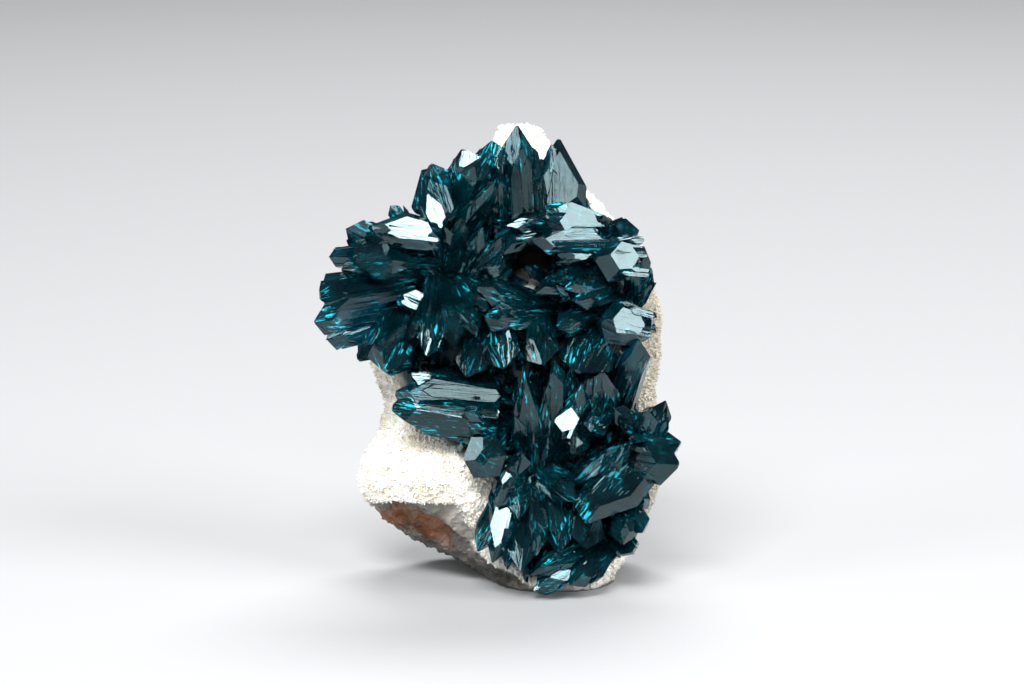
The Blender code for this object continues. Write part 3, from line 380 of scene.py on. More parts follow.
def row_point(u, v, w):
    """A place on the display side, in the row frame, both in millimetres."""
    return row_direction(u, v, w) - Vector(FOOT_MIDDLE)


RIGHT = row_direction(1, 0, 0)
UPWARDS = row_direction(0, 1, 0)
OUTWARDS = row_direction(0, 0, 1)


def side_place(point):
    """The (u, v, w) of a place in the row frame."""
    moved = point + Vector(FOOT_MIDDLE)
    return moved.dot(RIGHT), moved.dot(UPWARDS), moved.dot(OUTWARDS)


def inside_outline(u, v, outline):
    """Whether (u, v) is inside a closed outline."""
    inside = False
    for (u0, v0), (u1, v1) in zip(outline, outline[1:] + outline[:1]):
        if (v0 > v) != (v1 > v) and u < u0 + (v - v0) / (v1 - v0) * (u1 - u0):
            inside = not inside
    return inside


def distance_to_run(u, v, start, end):
    """Distance from (u, v) to the straight run between two places."""
    run = (end[0] - start[0], end[1] - start[1])
    share = ((u - start[0]) * run[0] + (v - start[1]) * run[1]) / (run[0] ** 2 + run[1] ** 2)
    share = min(max(share, 0.0), 1.0)
    return math.dist((u, v), (start[0] + share * run[0], start[1] + share * run[1]))


def depth_inside(u, v, outline):
    """How far (u, v) is inside a closed outline, negative when outside."""
    runs = zip(outline, outline[1:] + outline[:1])
    least = min(distance_to_run(u, v, start, end) for start, end in runs)
    return least if inside_outline(u, v, outline) else -least


def placed(name, data):
    """A new object in the scene."""
    made = bpy.data.objects.new(name, data)
    bpy.context.scene.collection.objects.link(made)
    return made


def mesh_object(name, points, faces):
    """A new object of these points and faces."""
    mesh = bpy.data.meshes.new(name)
    mesh.from_pydata([tuple(point) for point in points], [], faces)
    mesh.update()
    return placed(name, mesh)


# Convex crystals. A plane is (normal, distance), and holds what lies behind it


def corners_of(planes):
    """Corner points of the space behind all the planes."""
    normals = np.array([tuple(n) for n, _ in planes])
    reach = np.array([d for _, d in planes])
    triples = np.array(list(itertools.combinations(range(len(planes)), 3)))
    systems = normals[triples]
    solvable = np.abs(np.linalg.det(systems)) > 1e-5
    corners = np.linalg.solve(systems[solvable], reach[triples[solvable]][..., None])[..., 0]
    corners = corners[(corners @ normals.T <= reach + 1e-6).all(axis=1)]
    kept = []
    for corner in corners:
        if all(np.abs(corner - other).max() > MERGE for other in kept):
            kept.append(corner)
    return kept


def crystal_axes(crystal, foot):
    """Tip, and the crystal's own directions: across its width, out of its broad face, and along it."""
    tip = row_point(*crystal.tip)
    along = (tip - foot).normalized()
    facing = (OUTWARDS - along * OUTWARDS.dot(along)).normalized()
    across = along.cross(facing)
    turn = math.radians(crystal.turn)
    out = facing * math.cos(turn) + across * math.sin(turn)
    across = across * math.cos(turn) - facing * math.sin(turn)
    return tip, across, out, along


def tip_and_side_faces(crystal, length):
    """Each upper face of a blade: its outward direction and a point on it, in the crystal's own axes."""
    half_width, half_thick = crystal.wide / 2, crystal.thick / 2
    narrowing = half_width * (1 - WAIST) / max(length - max(crystal.left, crystal.right), 1.0)
    run = half_width * (1 - EDGE_FLAT)
    faces = []
    for side in (1, -1):
        faces.append(((0, side, 0), (0, side * half_thick, -crystal.chisel)))
        shoulder = crystal.right if side > 0 else crystal.left
        edge = (side * half_width, 0, -shoulder)
        if crystal.wide < NARROW:
            faces.append(((side, 0, -narrowing), edge))
        for front in (1, -1):
            if crystal.wide >= NARROW:
                faces.append(((side * half_thick, front * run, -narrowing * half_thick), edge))
            slope = crystal.chisel * (1.0 if front > 0 else REAR_SLOPE) * crystal.wide / crystal.thick
            faces.append(((side * shoulder, front * slope, half_width), (0, 0, 0)))
    faces.append((WORN_FACE, (0, 0, -max(crystal.blunt, crystal.wide * WORN))))
    return faces


def lower_faces(crystal, length, buried):
    """The flat end inside the rock, or the four slopes of a lower end that is free."""
    if not crystal.rise:
        return [((0, 0, -1), (0, 0, -length - buried))]
    taper = crystal.wide * LOWER_END
    slope = taper * crystal.wide / crystal.thick * LOWER_SLOPE
    corners = itertools.product((1, -1), repeat=2)
    return [((side * taper, front * slope, -crystal.wide / 2), (0, 0, -length)) for side, front in corners]


def crystal_planes(crystal, axes, length, chance, buried=BURIED):
    """The planes that bound one blade, each leaning a little from the ideal form."""
    tip, across, out, along = axes
    planes = []
    for (x, y, z), through in tip_and_side_faces(crystal, length) + lower_faces(crystal, length, buried):
        lean = [chance.uniform(-PLANE_TILT, PLANE_TILT) for _ in range(3)]
        size = math.sqrt(x * x + y * y + z * z)
        normal = across * (x / size + lean[0]) + out * (y / size + lean[1]) + along * (z / size + lean[2])
        normal.normalize()
        spot = tip + across * through[0] + out * through[1] + along * through[2]
        planes.append((normal, normal.dot(spot)))
    return planes


def grown_on(axes, tip, lean_across, lean_out):
    """The axes of a crystal grown on another one, with its own tip and a small lean."""
    _, across, out, along = axes
    new_along = (along + across * lean_across + out * lean_out).normalized()
    new_out = (out - new_along * out.dot(new_along)).normalized()
    new_across = new_along.cross(new_out)
    if new_across.dot(across) < 0:
        new_across.negate()
    return tip, new_across, new_out, new_along


def turned(axes, angle):
    """The same axes turned round the crystal's length."""
    tip, across, out, along = axes
    new_across = across * math.cos(angle) - out * math.sin(angle)
    return tip, new_across, out * math.cos(angle) + across * math.sin(angle), along


def slimmer(crystal, wide, thick, shoulders, chance):
    """A copy of a crystal with its own width, thickness and tip."""
    left, right = (wide * chance.uniform(*shares) for shares in shoulders)
    chisel = thick * chance.uniform(0.5, 1.0)
    return crystal._replace(wide=wide, thick=thick, left=left, right=right, chisel=chisel, blunt=0.0)


def lath_of(crystal, axes, length, chance):
    """A narrower crystal side by side with a larger one, its tip near the larger one's sloping end."""
    tip, across, _, along = axes
    place = chance.uniform(*LATH_PLACE)
    shoulder = crystal.right if place > 0 else crystal.left
    end = -abs(place) * 2 * shoulder + chance.uniform(*LATH_END) * crystal.wide
    wide = crystal.wide * chance.uniform(*LATH_WIDE)
    thick = crystal.thick * chance.uniform(*LATH_THICK)
    new_tip = tip + across * (place * crystal.wide) + along * end
    shape = slimmer(crystal, wide, thick, LATH_SHOULDERS, chance)
    grown = grown_on(axes, new_tip, chance.uniform(-0.02, 0.02), chance.uniform(-0.015, 0.015))
    return shape, turned(grown, chance.gauss(0, LATH_TURN)), length + end


def fellow_of(crystal, axes, length, chance):
    """A slimmer crystal from the same root, leaning away from the larger one."""
    tip, across, _, along = axes
    root = tip - along * length
    wide = max(crystal.wide * chance.uniform(*FELLOW_WIDE), FELLOW_LEAST[0])
    thick = max(crystal.thick * chance.uniform(*FELLOW_THICK), FELLOW_LEAST[1])
    sideways = chance.choice((-1, 1)) * chance.uniform(*FELLOW_SPREAD)
    leaning = grown_on(axes, tip, sideways, chance.uniform(*FELLOW_LEAN))
    new_length = length * chance.uniform(*FELLOW_LENGTH)
    start = root + across * (sideways * crystal.wide * 0.8)
    new_tip = start + leaning[3] * new_length
    shape = slimmer(crystal, wide, thick, FELLOW_SHOULDERS, chance)
    return shape, (new_tip, *leaning[1:]), new_length


def map_growth(part, axes, number):
    """Lays lines along the crystal on its faces, and its number with the distance below its tip."""
    tip, across, _, along = axes
    grain = part.loops.layers.uv.new("grain")
    growth = part.loops.layers.uv.new("growth")
    for face in part.faces:
        upright = along - face.normal * along.dot(face.normal)
        upright = upright.normalized() if upright.length > 0.05 else across
        sideways = upright.cross(face.normal)
        for loop in face.loops:
            spot = loop.vert.co
            loop[grain].uv = (spot.dot(sideways) + number * GRAIN_SHIFT, spot.dot(upright))
            loop[growth].uv = (number, (tip - spot).dot(along))


def convex_object(planes, axes, number):
    """One convex crystal, or None where the planes hold no space."""
    corners = corners_of(planes)
    if len(corners) < 4:
        return None
    part = bmesh.new()
    points = [part.verts.new(corner) for corner in corners]
    hull = bmesh.ops.convex_hull(part, input=points)
    inner = [item for item in hull["geom_interior"] if isinstance(item, bmesh.types.BMVert)]
    bmesh.ops.delete(part, geom=inner, context="VERTS")
    bmesh.ops.dissolve_limit(part, angle_limit=SAME_FACE, verts=part.verts[:], edges=part.edges[:])
    bmesh.ops.recalc_face_normals(part, faces=part.faces[:])
    map_growth(part, axes, number)
    mesh = bpy.data.meshes.new("piece")
    part.to_mesh(mesh)
    part.free()
    return placed("piece", mesh)


def united(first, others):
    """The mesh of one object and all the others, by a Boolean union."""
    group = bpy.data.collections.new("pieces")
    for piece in others:
        group.objects.link(piece)
    modifier = first.modifiers.new("join", "BOOLEAN")
    modifier.operation = "UNION"
    modifier.solver = "MANIFOLD"
    modifier.operand_type = "COLLECTION"
    modifier.collection = group
    graph = bpy.context.evaluated_depsgraph_get()
    result = bpy.data.meshes.new_from_object(first.evaluated_get(graph))
    first.modifiers.remove(modifier)
    bpy.data.collections.remove(group)
    return result


def joined(name, pieces):
    """One closed body of all the pieces, in metres."""
    first, others = pieces[0], pieces[1:]
    first.name = name
    if others:
        first.data = united(first, others)
        for piece in others:
            bpy.data.objects.remove(piece)
    first.data.name = name
    first.data.transform(Matrix.Scale(MM, 4))
    return first


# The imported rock's surface


def rock_tree():
    """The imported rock's surface in millimetres, for finding places on it."""
    mesh = bmesh.new()
    mesh.from_mesh(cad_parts["matrix_rock"].data)
    bmesh.ops.transform(mesh, matrix=Matrix.Scale(1 / MM, 4), verts=mesh.verts[:])
    tree = BVHTree.FromBMesh(mesh)
    mesh.free()
    return tree


ROCK = rock_tree()


def front_of_rock(u, v):
    """Place and outward direction of the rock's front at (u, v), or None."""
    place, normal, _, _ = ROCK.ray_cast(row_point(u, v, 60), -OUTWARDS)
    if place is None:
        return None
    return place, (normal if normal.dot(OUTWARDS) > 0 else -normal)


def foot_of(crystal):
    """Where a crystal's foot is, over the rock's surface."""
    found = front_of_rock(*crystal.foot)
    surface = row_point(*crystal.foot, 0) if found is None else found[0]
    return surface + OUTWARDS * (FOOT_LIFT + crystal.rise)


# The crystal pieces


def spray_pieces(crystals, seed):
    """Every crystal of a spray with the narrower ones that have grown along it."""
    chance = random.Random(seed)
    made = []
    for index, crystal in enumerate(crystals):
        foot = foot_of(crystal)
        axes = crystal_axes(crystal, foot)
        length = (axes[0] - foot).length
        shapes = [(crystal, axes, length)]
        shapes += [lath_of(crystal, axes, length, chance) for _ in range(crystal.laths)]
        shapes += [fellow_of(crystal, axes, length, chance) for _ in range(crystal.fellows)]
        for shape, shape_axes, shape_length in shapes:
            planes = crystal_planes(shape, shape_axes, shape_length, chance)
            made.append(convex_object(planes, shape_axes, (seed * 37 + index * 11 + len(made)) % LOOKS))
    return [piece for piece in made if piece]


def nearest_direction(u, v, runs):
    """The direction in which the blades nearest to (u, v) grow; runs holds (foot, tip, direction) of each."""
    total = Vector()
    for foot, tip, along in runs:
        away = distance_to_run(u, v, foot, tip)
        total += along / (away * away + 0.3) ** 1.5
    return total.normalized()


def small_blade(u, v, direction, chance):
    """One small crystal of the crust, leaning the way its larger neighbours do, or None off the rock."""
    found = front_of_rock(u, v)
    if found is None:
        return None
    place, normal = found
    lean = Vector([chance.uniform(-CRUST_LEAN, CRUST_LEAN) for _ in range(3)])
    along = (normal * 0.35 + OUTWARDS * 0.35 + direction * chance.uniform(0.4, 1.1) + lean).normalized()
    length = chance.uniform(*CRUST_LENGTH)
    tip = place + along * length
    wide = chance.uniform(*CRUST_WIDE)
    facing = (OUTWARDS - along * OUTWARDS.dot(along)).normalized()
    across = along.cross(facing)
    across.rotate(Matrix.Rotation(chance.gauss(0, 0.6), 3, along))
    crystal = blade((u, v), (0, 0, 0), wide, wide * chance.uniform(*CRUST_THICK))
    crystal = crystal._replace(left=wide * chance.uniform(0.6, 2.2), right=wide * chance.uniform(0.5, 1.8))
    return crystal, (tip, across, across.cross(along), along), length


def crust_places(chance):
    """Places of the small crystals: a loose grid over the crystal zone, but not in its hollow."""
    for column, row in itertools.product(CRUST_COLUMNS, CRUST_ROWS):
        u = (column + chance.uniform(0, 0.9)) * CRUST_STEP
        v = (row + chance.uniform(0, 0.9)) * CRUST_STEP
        if inside_outline(u, v, CRYSTAL_ZONE) and math.dist((u, v), HOLLOW_MIDDLE) >= HOLLOW_RADIUS:
            yield u, v


def crust_pieces():
    """The crust of small crystals between the sprays."""
    chance = random.Random(CRUST_SEED)
    blades = [crystal for crystals in SPRAYS.values() for crystal in crystals]
    runs = [(one.foot, one.tip[:2], crystal_axes(one, foot_of(one))[3]) for one in blades]
    made = []
    for u, v in crust_places(chance):
        small = small_blade(u, v, nearest_direction(u, v, runs), chance)
        if small is None:
            continue
        crystal, axes, length = small
        if not inside_outline(*side_place(axes[0])[:2], CRYSTAL_ZONE):
            continue
        shapes = [small, lath_of(crystal, axes, length, chance), fellow_of(crystal, axes, length, chance)]
        steep = front_of_rock(u, v)[1].dot(OUTWARDS) <= CRUST_STEEP
        for shape, shape_axes, shape_length in shapes:
            planes = crystal_planes(shape, shape_axes, shape_length, chance, CRUST_BURIED)
            if not steep:
                made.append(convex_object(planes, shape_axes, len(made) % LOOKS))
    return [piece for piece in made if piece]


# The rock


def ease(low, high, value):
    """0 below low, 1 above high, and a smooth rise between them."""
    share = min(max((value - low) / (high - low), 0.0), 1.0)
    return share * share * (3 - 2 * share)


def between(places, value):
    """Straight-line value between (place, value) pairs in rising order."""
    return float(np.interp(value, [p[0] for p in places], [p[1] for p in places]))


def zones_of(place, normal):
    """How much of each kind of surface is at a place of the rock: sugar, stain, shaded grey (the underside
    and faces turned down, darkened with painted shade), crust, hole, rough.
    """
    u, v, _ = side_place(place)
    outwards = normal.dot(OUTWARDS)
    wobble = noise.noise(place * 0.5) * 0.9
    front = ease(-0.15, 0.30, outwards)
    edge = between(LEDGE, u) + wobble * 0.5
    below = ease(-0.4, 0.5, edge - v) * (1 if u < LEDGE_END else 0)
    stain = below * ease(*STAIN_BELOW, edge - v) * ease(*STAIN_LEFT, u) * ease(*STAIN_RIGHT, u)
    stain *= ease(-0.5, 0.1, outwards)
    crust = front * ease(-0.3, 0.7, depth_inside(u, v, CRYSTAL_ZONE))
    middle_u, middle_v = HOLLOW_MIDDLE
    away = math.dist((u, (v - middle_v) * HOLLOW_FLAT), (middle_u, 0))
    hole = front * ease(HOLLOW_RADIUS + 0.6, HOLLOW_RADIUS - 0.9, away)
    # Painted shade: the part under the ledge and every face turned downwards get the dark grey
    shaded_grey = max(below, ease(-0.25, -0.75, normal.z))
    rough = (1 - ease(-0.65, 0.0, outwards + wobble * 0.35)) * (1 - shaded_grey)
    sugar = (1 - shaded_grey) * (1 - rough) * (1 - crust)
    return {"sugar": sugar, "stain": stain, "shaded_grey": shaded_grey, "crust": crust, "hole": hole, "rough": rough}


def blend(first, second, share):
    """A colour between two others."""
    return [a + (b - a) * share for a, b in zip(first, second)]


def tint_of(place, zones):
    """The colour of the rock's surface at a place, with painted shade on the underside, on the right-hand
    side and in the hollow.
    """
    mottle = noise.fractal(place * 0.45, 0.9, 2.1, 4)
    colour = blend(SUGAR_WHITE, SUGAR_CREAM, ease(-0.1, 0.5, mottle))
    u, v, _ = side_place(place)
    # Painted shade: the right-hand side is darkened as well as made creamier
    shaded_wall = ease(*WALL_FROM, u + mottle) * ease(*WALL_TOP, v)
    colour = blend(colour, WALL_CREAM_AND_SHADE, shaded_wall * 0.85)
    colour = blend(colour, blend(BROKEN_PALE, BROKEN_TAN, ease(-0.3, 0.5, mottle)), zones["rough"])
    # Painted shade on the underside and on faces turned downwards
    colour = blend(colour, blend(SHADED_GREY_PALE, SHADED_GREY_DARK, ease(-0.4, 0.4, mottle)), zones["shaded_grey"])
    colour = blend(colour, STAIN_BROWN, zones["stain"] * ease(-0.9, -0.2, mottle))
    colour = blend(colour, CRUST_TEAL, zones["crust"])
    # Painted shade: the hollow is darkened
    colour = blend(colour, HOLLOW_PAINTED_SHADE, zones["hole"])
    glimpse = ease(*GLIMPSE_REACH, math.dist((u, v), GLIMPSE)) * ease(*GLIMPSE_TOP, v)
    return blend(colour, SUGAR_WHITE, glimpse)


def break_at(place):
    """How far a flat break of the rock stands out at a place."""
    _, seeds = noise.voronoi(place * BREAK_SCALE)
    lean = noise.noise_vector(seeds[0] * 13.7)
    slope = (place * BREAK_SCALE - seeds[0]).dot(lean) / BREAK_SCALE
    return slope * BREAK_TILT + noise.noise(seeds[0] * 5.1) * BREAK_STEP


def relief_of(place, zones):
    """How far the rock's surface stands out at a place, in millimetres."""
    lumps = noise.fractal(place * 0.30, 1.0, 2.0, 3) * LUMP_HEIGHT
    bumps = noise.fractal(place * 1.3 + Vector((7, 3, 5)), 0.8, 2.2, 3) * BUMP_HEIGHT
    cracks = -abs(noise.noise(place * 0.55 + Vector((3, 9, 1)))) ** 0.6 * CRACK_DEPTH
    relief = zones["sugar"] * (lumps + bumps) + zones["shaded_grey"] * (cracks * 0.7 + bumps * 1.6)
    relief += zones["rough"] * (cracks * 0.35 + break_at(place) + bumps)
    return relief - SUNK


def evenly_remeshed(name, solid):
    """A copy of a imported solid, in millimetres, whose points are evenly spread."""
    mesh = solid.data.copy()
    mesh.transform(Matrix.Scale(1 / MM, 4))
    made = placed(name, mesh)
    modifier = made.modifiers.new("even", "REMESH")
    modifier.mode = "VOXEL"
    modifier.voxel_size = ROCK_VOXEL
    graph = bpy.context.evaluated_depsgraph_get()
    skin = bpy.data.meshes.new_from_object(made.evaluated_get(graph))
    made.modifiers.clear()
    made.data = skin
    return made


def rock_skin():
    """The rock as it looks, and how sugary it is at each point."""
    noise.seed_set(ROCK_SEED)
    made = evenly_remeshed("sugary_rock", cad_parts["matrix_rock"])
    tints = made.data.color_attributes.new("tint", "FLOAT_COLOR", "POINT")
    places, sugar = [], []
    for index, vertex in enumerate(made.data.vertices):
        place, normal = vertex.co.copy(), vertex.normal.copy()
        zones = zones_of(place, normal)
        tints.data[index].color = (*tint_of(place, zones), 1.0)
        over_floor = ease(0.0, 0.8, place.z)
        moved = place + normal * (relief_of(place, zones) * over_floor)
        moved -= OUTWARDS * (zones["hole"] * HOLLOW_DEPTH + zones["stain"] * STAIN_DEPTH)
        places.append(moved)
        sugar.append(zones["sugar"] * (1 - zones["hole"]) * over_floor)
    for vertex, place in zip(made.data.vertices, places):
        vertex.co = place
    made.data.update()
    return made, sugar


def grain_sites(skin, sugar, chance):
    """Place, direction and colour of each grain: one on most faces of the sugary part."""
    sites, tints = [], []
    for face in skin.polygons:
        share = sum(sugar[i] for i in face.vertices) / len(face.vertices)
        if share > 0.5:
            sites.append((*face.center, *face.normal))
            tints.append(skin.color_attributes["tint"].data[face.vertices[0]].color[:3])
    sites = np.array(sites)
    keep = chance.random(len(sites)) < GRAIN_SHARE
    return sites[keep, :3], sites[keep, 3:], np.array(tints)[keep]


def unit(vectors):
    """The same directions with length 1."""
    return vectors / np.linalg.norm(vectors, axis=1, keepdims=True)


def grain_corners(place, normal, chance):
    """Five corners of each grain: a square foot just inside the surface, and a leaning tip."""
    count = len(place)
    lean = unit(normal + chance.normal(0, GRAIN_LEAN, (count, 3)))
    first = unit(np.cross(lean, chance.normal(0, 1, (count, 3))))
    second = np.cross(lean, first)
    size = chance.uniform(*GRAIN_SIZE, (count, 1))
    height = chance.uniform(*GRAIN_HEIGHT, (count, 1))
    middle = place + chance.normal(0, GRAIN_STRAY, (count, 3))
    square = ((1, 0), (0, 1), (-1, 0), (0, -1))
    corners = [middle - lean * GRAIN_SUNK + (first * x + second * y) * size for x, y in square]
    corners.append(middle + lean * height)
    return np.stack(corners, axis=1).reshape(-1, 3)


def grains(skin, sugar):
    """Small quartz points all over the sugary parts of the rock, as one mesh."""
    chance = np.random.default_rng(GRAIN_SEED)
    place, normal, tints = grain_sites(skin, sugar, chance)
    faces = []
    for index in range(len(place)):
        a, b, c, d, top = range(index * 5, index * 5 + 5)
        faces += [(d, c, b, a), (a, b, top), (b, c, top), (c, d, top), (d, a, top)]
    made = mesh_object("quartz_grains", grain_corners(place, normal, chance), faces)
    tint = made.data.color_attributes.new("tint", "FLOAT_COLOR", "POINT")
    shade = chance.uniform(*GRAIN_SHADE, (len(place), 1))
    colours = np.concatenate([np.clip(tints * shade, 0, 1), np.ones((len(place), 1))], axis=1)
    tint.data.foreach_set("color", np.repeat(colours, 5, axis=0).ravel())
    return made


# Materials


def new_material(name):
    """A material, its nodes, and its shader and output among them."""
    made = bpy.data.materials.new(name)
    made.use_nodes = True
    tree = made.node_tree
    return made, tree, tree.nodes["Principled BSDF"], tree.nodes["Material Output"]


def add_node(tree, kind, **values):
    """A shader node with its settings and its unlinked inputs, both given by name."""
    node = tree.nodes.new(kind)
    for key, value in values.items():
        if hasattr(node, key):
            setattr(node, key, value)
        else:
            node.inputs[key.replace("_", " ")].default_value = value
    return node


def feed(tree, socket, value):
    """Links an input to an output, or sets it to a number or a colour."""
    if isinstance(value, (int, float)):
        socket.default_value = value
    elif isinstance(value, tuple):
        socket.default_value = (*value, 1.0)
    else:
        tree.links.new(value, socket)


def ramp(tree, factor, stops):
    """A colour ramp with these (position, colour) stops."""
    node = tree.nodes.new("ShaderNodeValToRGB")
    tree.links.new(factor, node.inputs["Fac"])
    elements = node.color_ramp.elements
    while len(elements) < len(stops):
        elements.new(0.5)
    for element, (position, colour) in zip(elements, stops):
        element.position = position
        element.color = (*colour, 1.0)
    return node.outputs["Color"]


def stretched_noise(tree, coordinate, scale, detail=4.0, roughness=0.6, distortion=0.0):
    """Noise with its own scale in each direction."""
    mapping = tree.nodes.new("ShaderNodeMapping")
    mapping.inputs["Scale"].default_value = scale
    tree.links.new(coordinate, mapping.inputs["Vector"])
    settings = {"Scale": 1.0, "Detail": detail, "Roughness": roughness, "Distortion": distortion}
    made = add_node(tree, "ShaderNodeTexNoise", **settings)
    tree.links.new(mapping.outputs["Vector"], made.inputs["Vector"])
    return made.outputs["Fac"]


def ranged(tree, value, low, high, new_low=0.0, new_high=1.0):
    """A value mapped from one range to another, clamped."""
    node = tree.nodes.new("ShaderNodeMapRange")
    for name, number in zip(("From Min", "From Max", "To Min", "To Max"), (low, high, new_low, new_high)):
        node.inputs[name].default_value = number
    tree.links.new(value, node.inputs["Value"])
    return node.outputs["Result"]


def combined(tree, operation, first, second):
    """Two values in one operation, each an output or a number."""
    node = tree.nodes.new("ShaderNodeMath")
    node.operation = operation
    for socket, value in zip(node.inputs, (first, second)):
        feed(tree, socket, value)
    return node.outputs["Value"]


def add_bump(tree, shader, height, strength, distance):
    """Relief in the shading alone."""
    bump = add_node(tree, "ShaderNodeBump", Strength=strength, Distance=distance)
    tree.links.new(height, bump.inputs["Height"])
    tree.links.new(bump.outputs["Normal"], shader.inputs["Normal"])


def mixed_colour(tree, share, first, second, blend_type="MIX"):
    """Two colours mixed, each an output or a plain colour."""
    node = tree.nodes.new("ShaderNodeMix")
    node.data_type = "RGBA"
    node.blend_type = blend_type
    feed(tree, node.inputs["Factor"], share)
    for socket, value in zip([item for item in node.inputs if item.type == "RGBA"], (first, second)):
        feed(tree, socket, value)
    return next(item for item in node.outputs if item.type == "RGBA")


def own_look(tree):
    """A value from 0 to 1 that is each crystal's own, and the distance below its tip in millimetres."""
    growth = add_node(tree, "ShaderNodeUVMap", uv_map="growth").outputs["UV"]
    parts = tree.nodes.new("ShaderNodeSeparateXYZ")
    tree.links.new(growth, parts.inputs["Vector"])
    chance = tree.nodes.new("ShaderNodeTexWhiteNoise")
    chance.noise_dimensions = "1D"
    tree.links.new(parts.outputs["X"], chance.inputs["W"])
    return chance.outputs["Value"], parts.outputs["Y"]


def flaws_and_glints_of(tree, grain, patches, own, below_tip):
    """Where the bright cyan streaks are, partly real silky flaws and partly painted glints: in streaks, in
    patches, more in some crystals and more near the tip.
    """
    streaks = stretched_noise(tree, grain, (3.0, 0.42, 1.0), detail=4.0, roughness=0.68, distortion=0.6)
    flaws_and_glints = combined(tree, "MULTIPLY", ranged(tree, streaks, 0.56, 0.61), ranged(tree, patches, 0.43, 0.53))
    flaws_and_glints = combined(tree, "MULTIPLY", flaws_and_glints, ranged(tree, own, 0.25, 0.75, 0.10, 1.0))
    return combined(tree, "MULTIPLY", flaws_and_glints, ranged(tree, below_tip, 1.0, 7.0, 1.0, 0.45))


def add_absorption(tree, output):
    """Lets the glass swallow light on its way, so that thick crystals are nearly black."""
    absorb = tree.nodes.new("ShaderNodeVolumeAbsorption")
    absorb.inputs["Color"].default_value = PASSED_COLOUR
    absorb.inputs["Density"].default_value = ABSORPTION
    tree.links.new(absorb.outputs["Volume"], output.inputs["Volume"])


def crystal_material():
    """Deep blue-green glass with fine lines along the growth and bright cyan streaks between them, partly
    real silky flaws and partly painted glints.
    """
    made, tree, shader, output = new_material("veszelyite_glass")
    links = tree.links
    grain = add_node(tree, "ShaderNodeUVMap", uv_map="grain").outputs["UV"]
    place = add_node(tree, "ShaderNodeTexCoord").outputs["Object"]
    own, below_tip = own_look(tree)
    lines = stretched_noise(tree, grain, (2.6, 0.10, 1.0), detail=3.0, roughness=0.55)
    patches = stretched_noise(tree, place, (330.0, 330.0, 330.0), detail=3.0)
    flaws_and_glints = flaws_and_glints_of(tree, grain, patches, own, below_tip)
    body = mixed_colour(tree, ranged(tree, patches, 0.35, 0.65), DEEP_TEAL, BRIGHT_TEAL)
    # Painted glints: the streaks get bright cyan and little transmission
    links.new(mixed_colour(tree, flaws_and_glints, body, FLAW_AND_GLINT_CYAN), shader.inputs["Base Color"])
    links.new(ranged(tree, flaws_and_glints, 0.0, 1.0, 0.93, 0.20), shader.inputs["Transmission Weight"])
    dull = ranged(tree, own, 0.6, 1.0, 0.0, 0.08)
    rough = combined(tree, "ADD", ranged(tree, lines, 0.35, 0.75, 0.02, 0.12), dull)
    links.new(rough, shader.inputs["Roughness"])
    shader.inputs["IOR"].default_value = REFRACTION
    shader.inputs["Specular Tint"].default_value = SHINE_TINT
    height = combined(tree, "MULTIPLY", lines, ranged(tree, own, 0.1, 0.9, 0.55, 1.0))
    add_bump(tree, shader, height, 1.0, LINE_RELIEF)
    add_absorption(tree, output)
    return made


def druse_material():
    """Sugary stone, coloured by its zones, with fine mottling and glints."""
    made, tree, shader, _ = new_material("sugary_stone")
    links = tree.links
    place = add_node(tree, "ShaderNodeTexCoord").outputs["Object"]
    tint = add_node(tree, "ShaderNodeAttribute", attribute_name="tint").outputs["Color"]
    fine = stretched_noise(tree, place, (2600.0, 2600.0, 2600.0), detail=4.0)
    coarse = stretched_noise(tree, place, (420.0, 420.0, 420.0), detail=5.0)
    mottle = ramp(tree, fine, [(0.30, (0.92, 0.90, 0.86)), (0.60, (1.0, 1.0, 1.0))])
    links.new(mixed_colour(tree, 1.0, tint, mottle, "MULTIPLY"), shader.inputs["Base Color"])
    links.new(ranged(tree, coarse, 0.3, 0.7, 0.25, 0.65), shader.inputs["Roughness"])
    add_bump(tree, shader, fine, 0.6, SUGAR_RELIEF)
    return made


def floor_material():
    """A plain pale floor."""
    made, _, shader, _ = new_material("pale_floor")
    shader.inputs["Base Color"].default_value = FLOOR_COLOUR
    shader.inputs["Roughness"].default_value = 0.55
    return made


# Stage


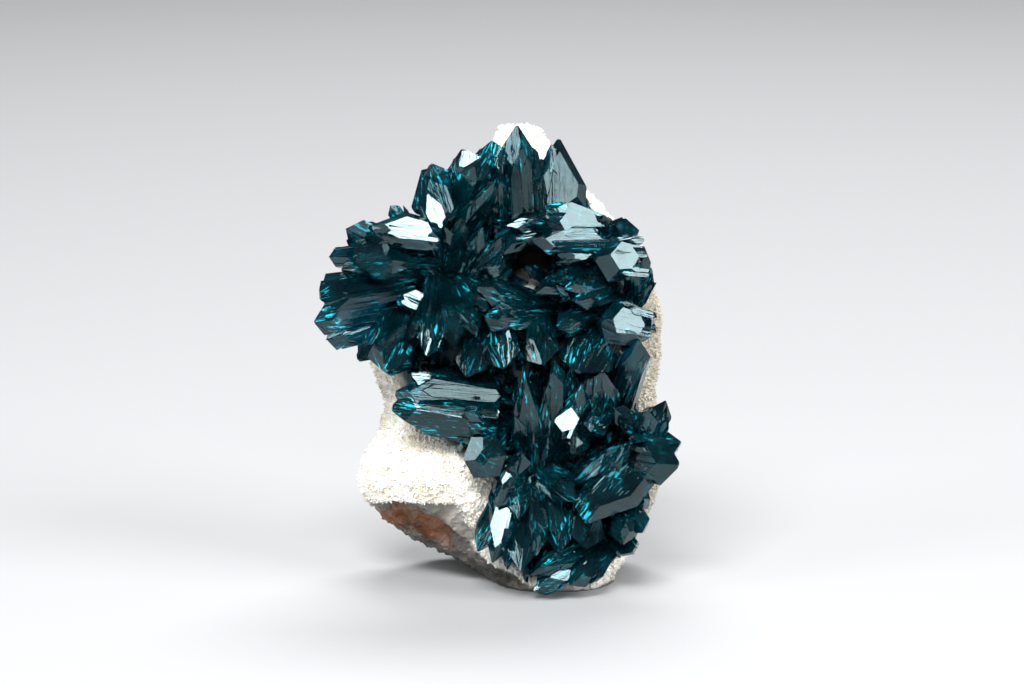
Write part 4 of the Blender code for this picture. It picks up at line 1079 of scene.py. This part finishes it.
def add_camera():
    """A long lens, square on to the display side, at the photograph's own scale."""
    u, v, w = LOOKED_AT
    data = bpy.data.cameras.new("camera")
    data.sensor_width = 36.0
    data.lens = data.sensor_width * CAMERA_DISTANCE / (PICTURE_PIXELS * PIXEL)
    data.clip_start = 0.01
    data.clip_end = 20.0
    camera = placed("camera", data)
    camera.location = row_point(u, v, w + CAMERA_DISTANCE) * MM
    camera.rotation_euler = OUTWARDS.to_track_quat("Z", "Y").to_euler()
    bpy.context.scene.camera = camera


def add_light(name, place, size, power):
    """A soft light that is aimed at the specimen's middle."""
    data = bpy.data.lights.new(name, "AREA")
    data.shape = "RECTANGLE"
    data.size, data.size_y = size
    data.energy = power
    light = placed(name, data)
    light.location = place
    aim = Vector(LIT_PLACE) - Vector(place)
    light.rotation_euler = aim.to_track_quat("-Z", "Y").to_euler()


def add_stage():
    """The floor, the lights and the studio's own pale glow."""
    corners = [(x * FLOOR_HALF, y * FLOOR_HALF, 0) for x, y in ((-1, -1), (1, -1), (1, 1), (-1, 1))]
    floor = mesh_object("floor", corners, [(0, 1, 2, 3)])
    floor.data.materials.append(floor_material())
    for light in LIGHTS:
        add_light(*light)
    world = bpy.data.worlds.new("studio")
    world.use_nodes = True
    glow = world.node_tree.nodes["Background"]
    glow.inputs["Color"].default_value = STUDIO_COLOUR
    glow.inputs["Strength"].default_value = STUDIO_STRENGTH
    bpy.context.scene.world = world
    bpy.context.scene.view_settings.view_transform = "Standard"


def finished(piece, material, node=None):
    """Gives a piece its material, its body and the node that it stands for."""
    piece.data.materials.clear()
    piece.data.materials.append(material)
    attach(piece, "root")
    if node:
        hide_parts(node)


def add_specimen():
    """All the pieces of the specimen, each on the one body."""
    glass, stone = crystal_material(), druse_material()
    for seed, (name, crystals) in enumerate(SPRAYS.items()):
        finished(joined(name + "_crystals", spray_pieces(crystals, seed)), glass, name)
    finished(joined("small_crystal_crust", crust_pieces()), glass)
    rock, sugar = rock_skin()
    sand = grains(rock.data, sugar)
    for piece in (rock, sand):
        piece.data.transform(Matrix.Scale(MM, 4))
    finished(rock, stone, "matrix_rock")
    finished(sand, stone)


add_specimen()
add_camera()
add_stage()
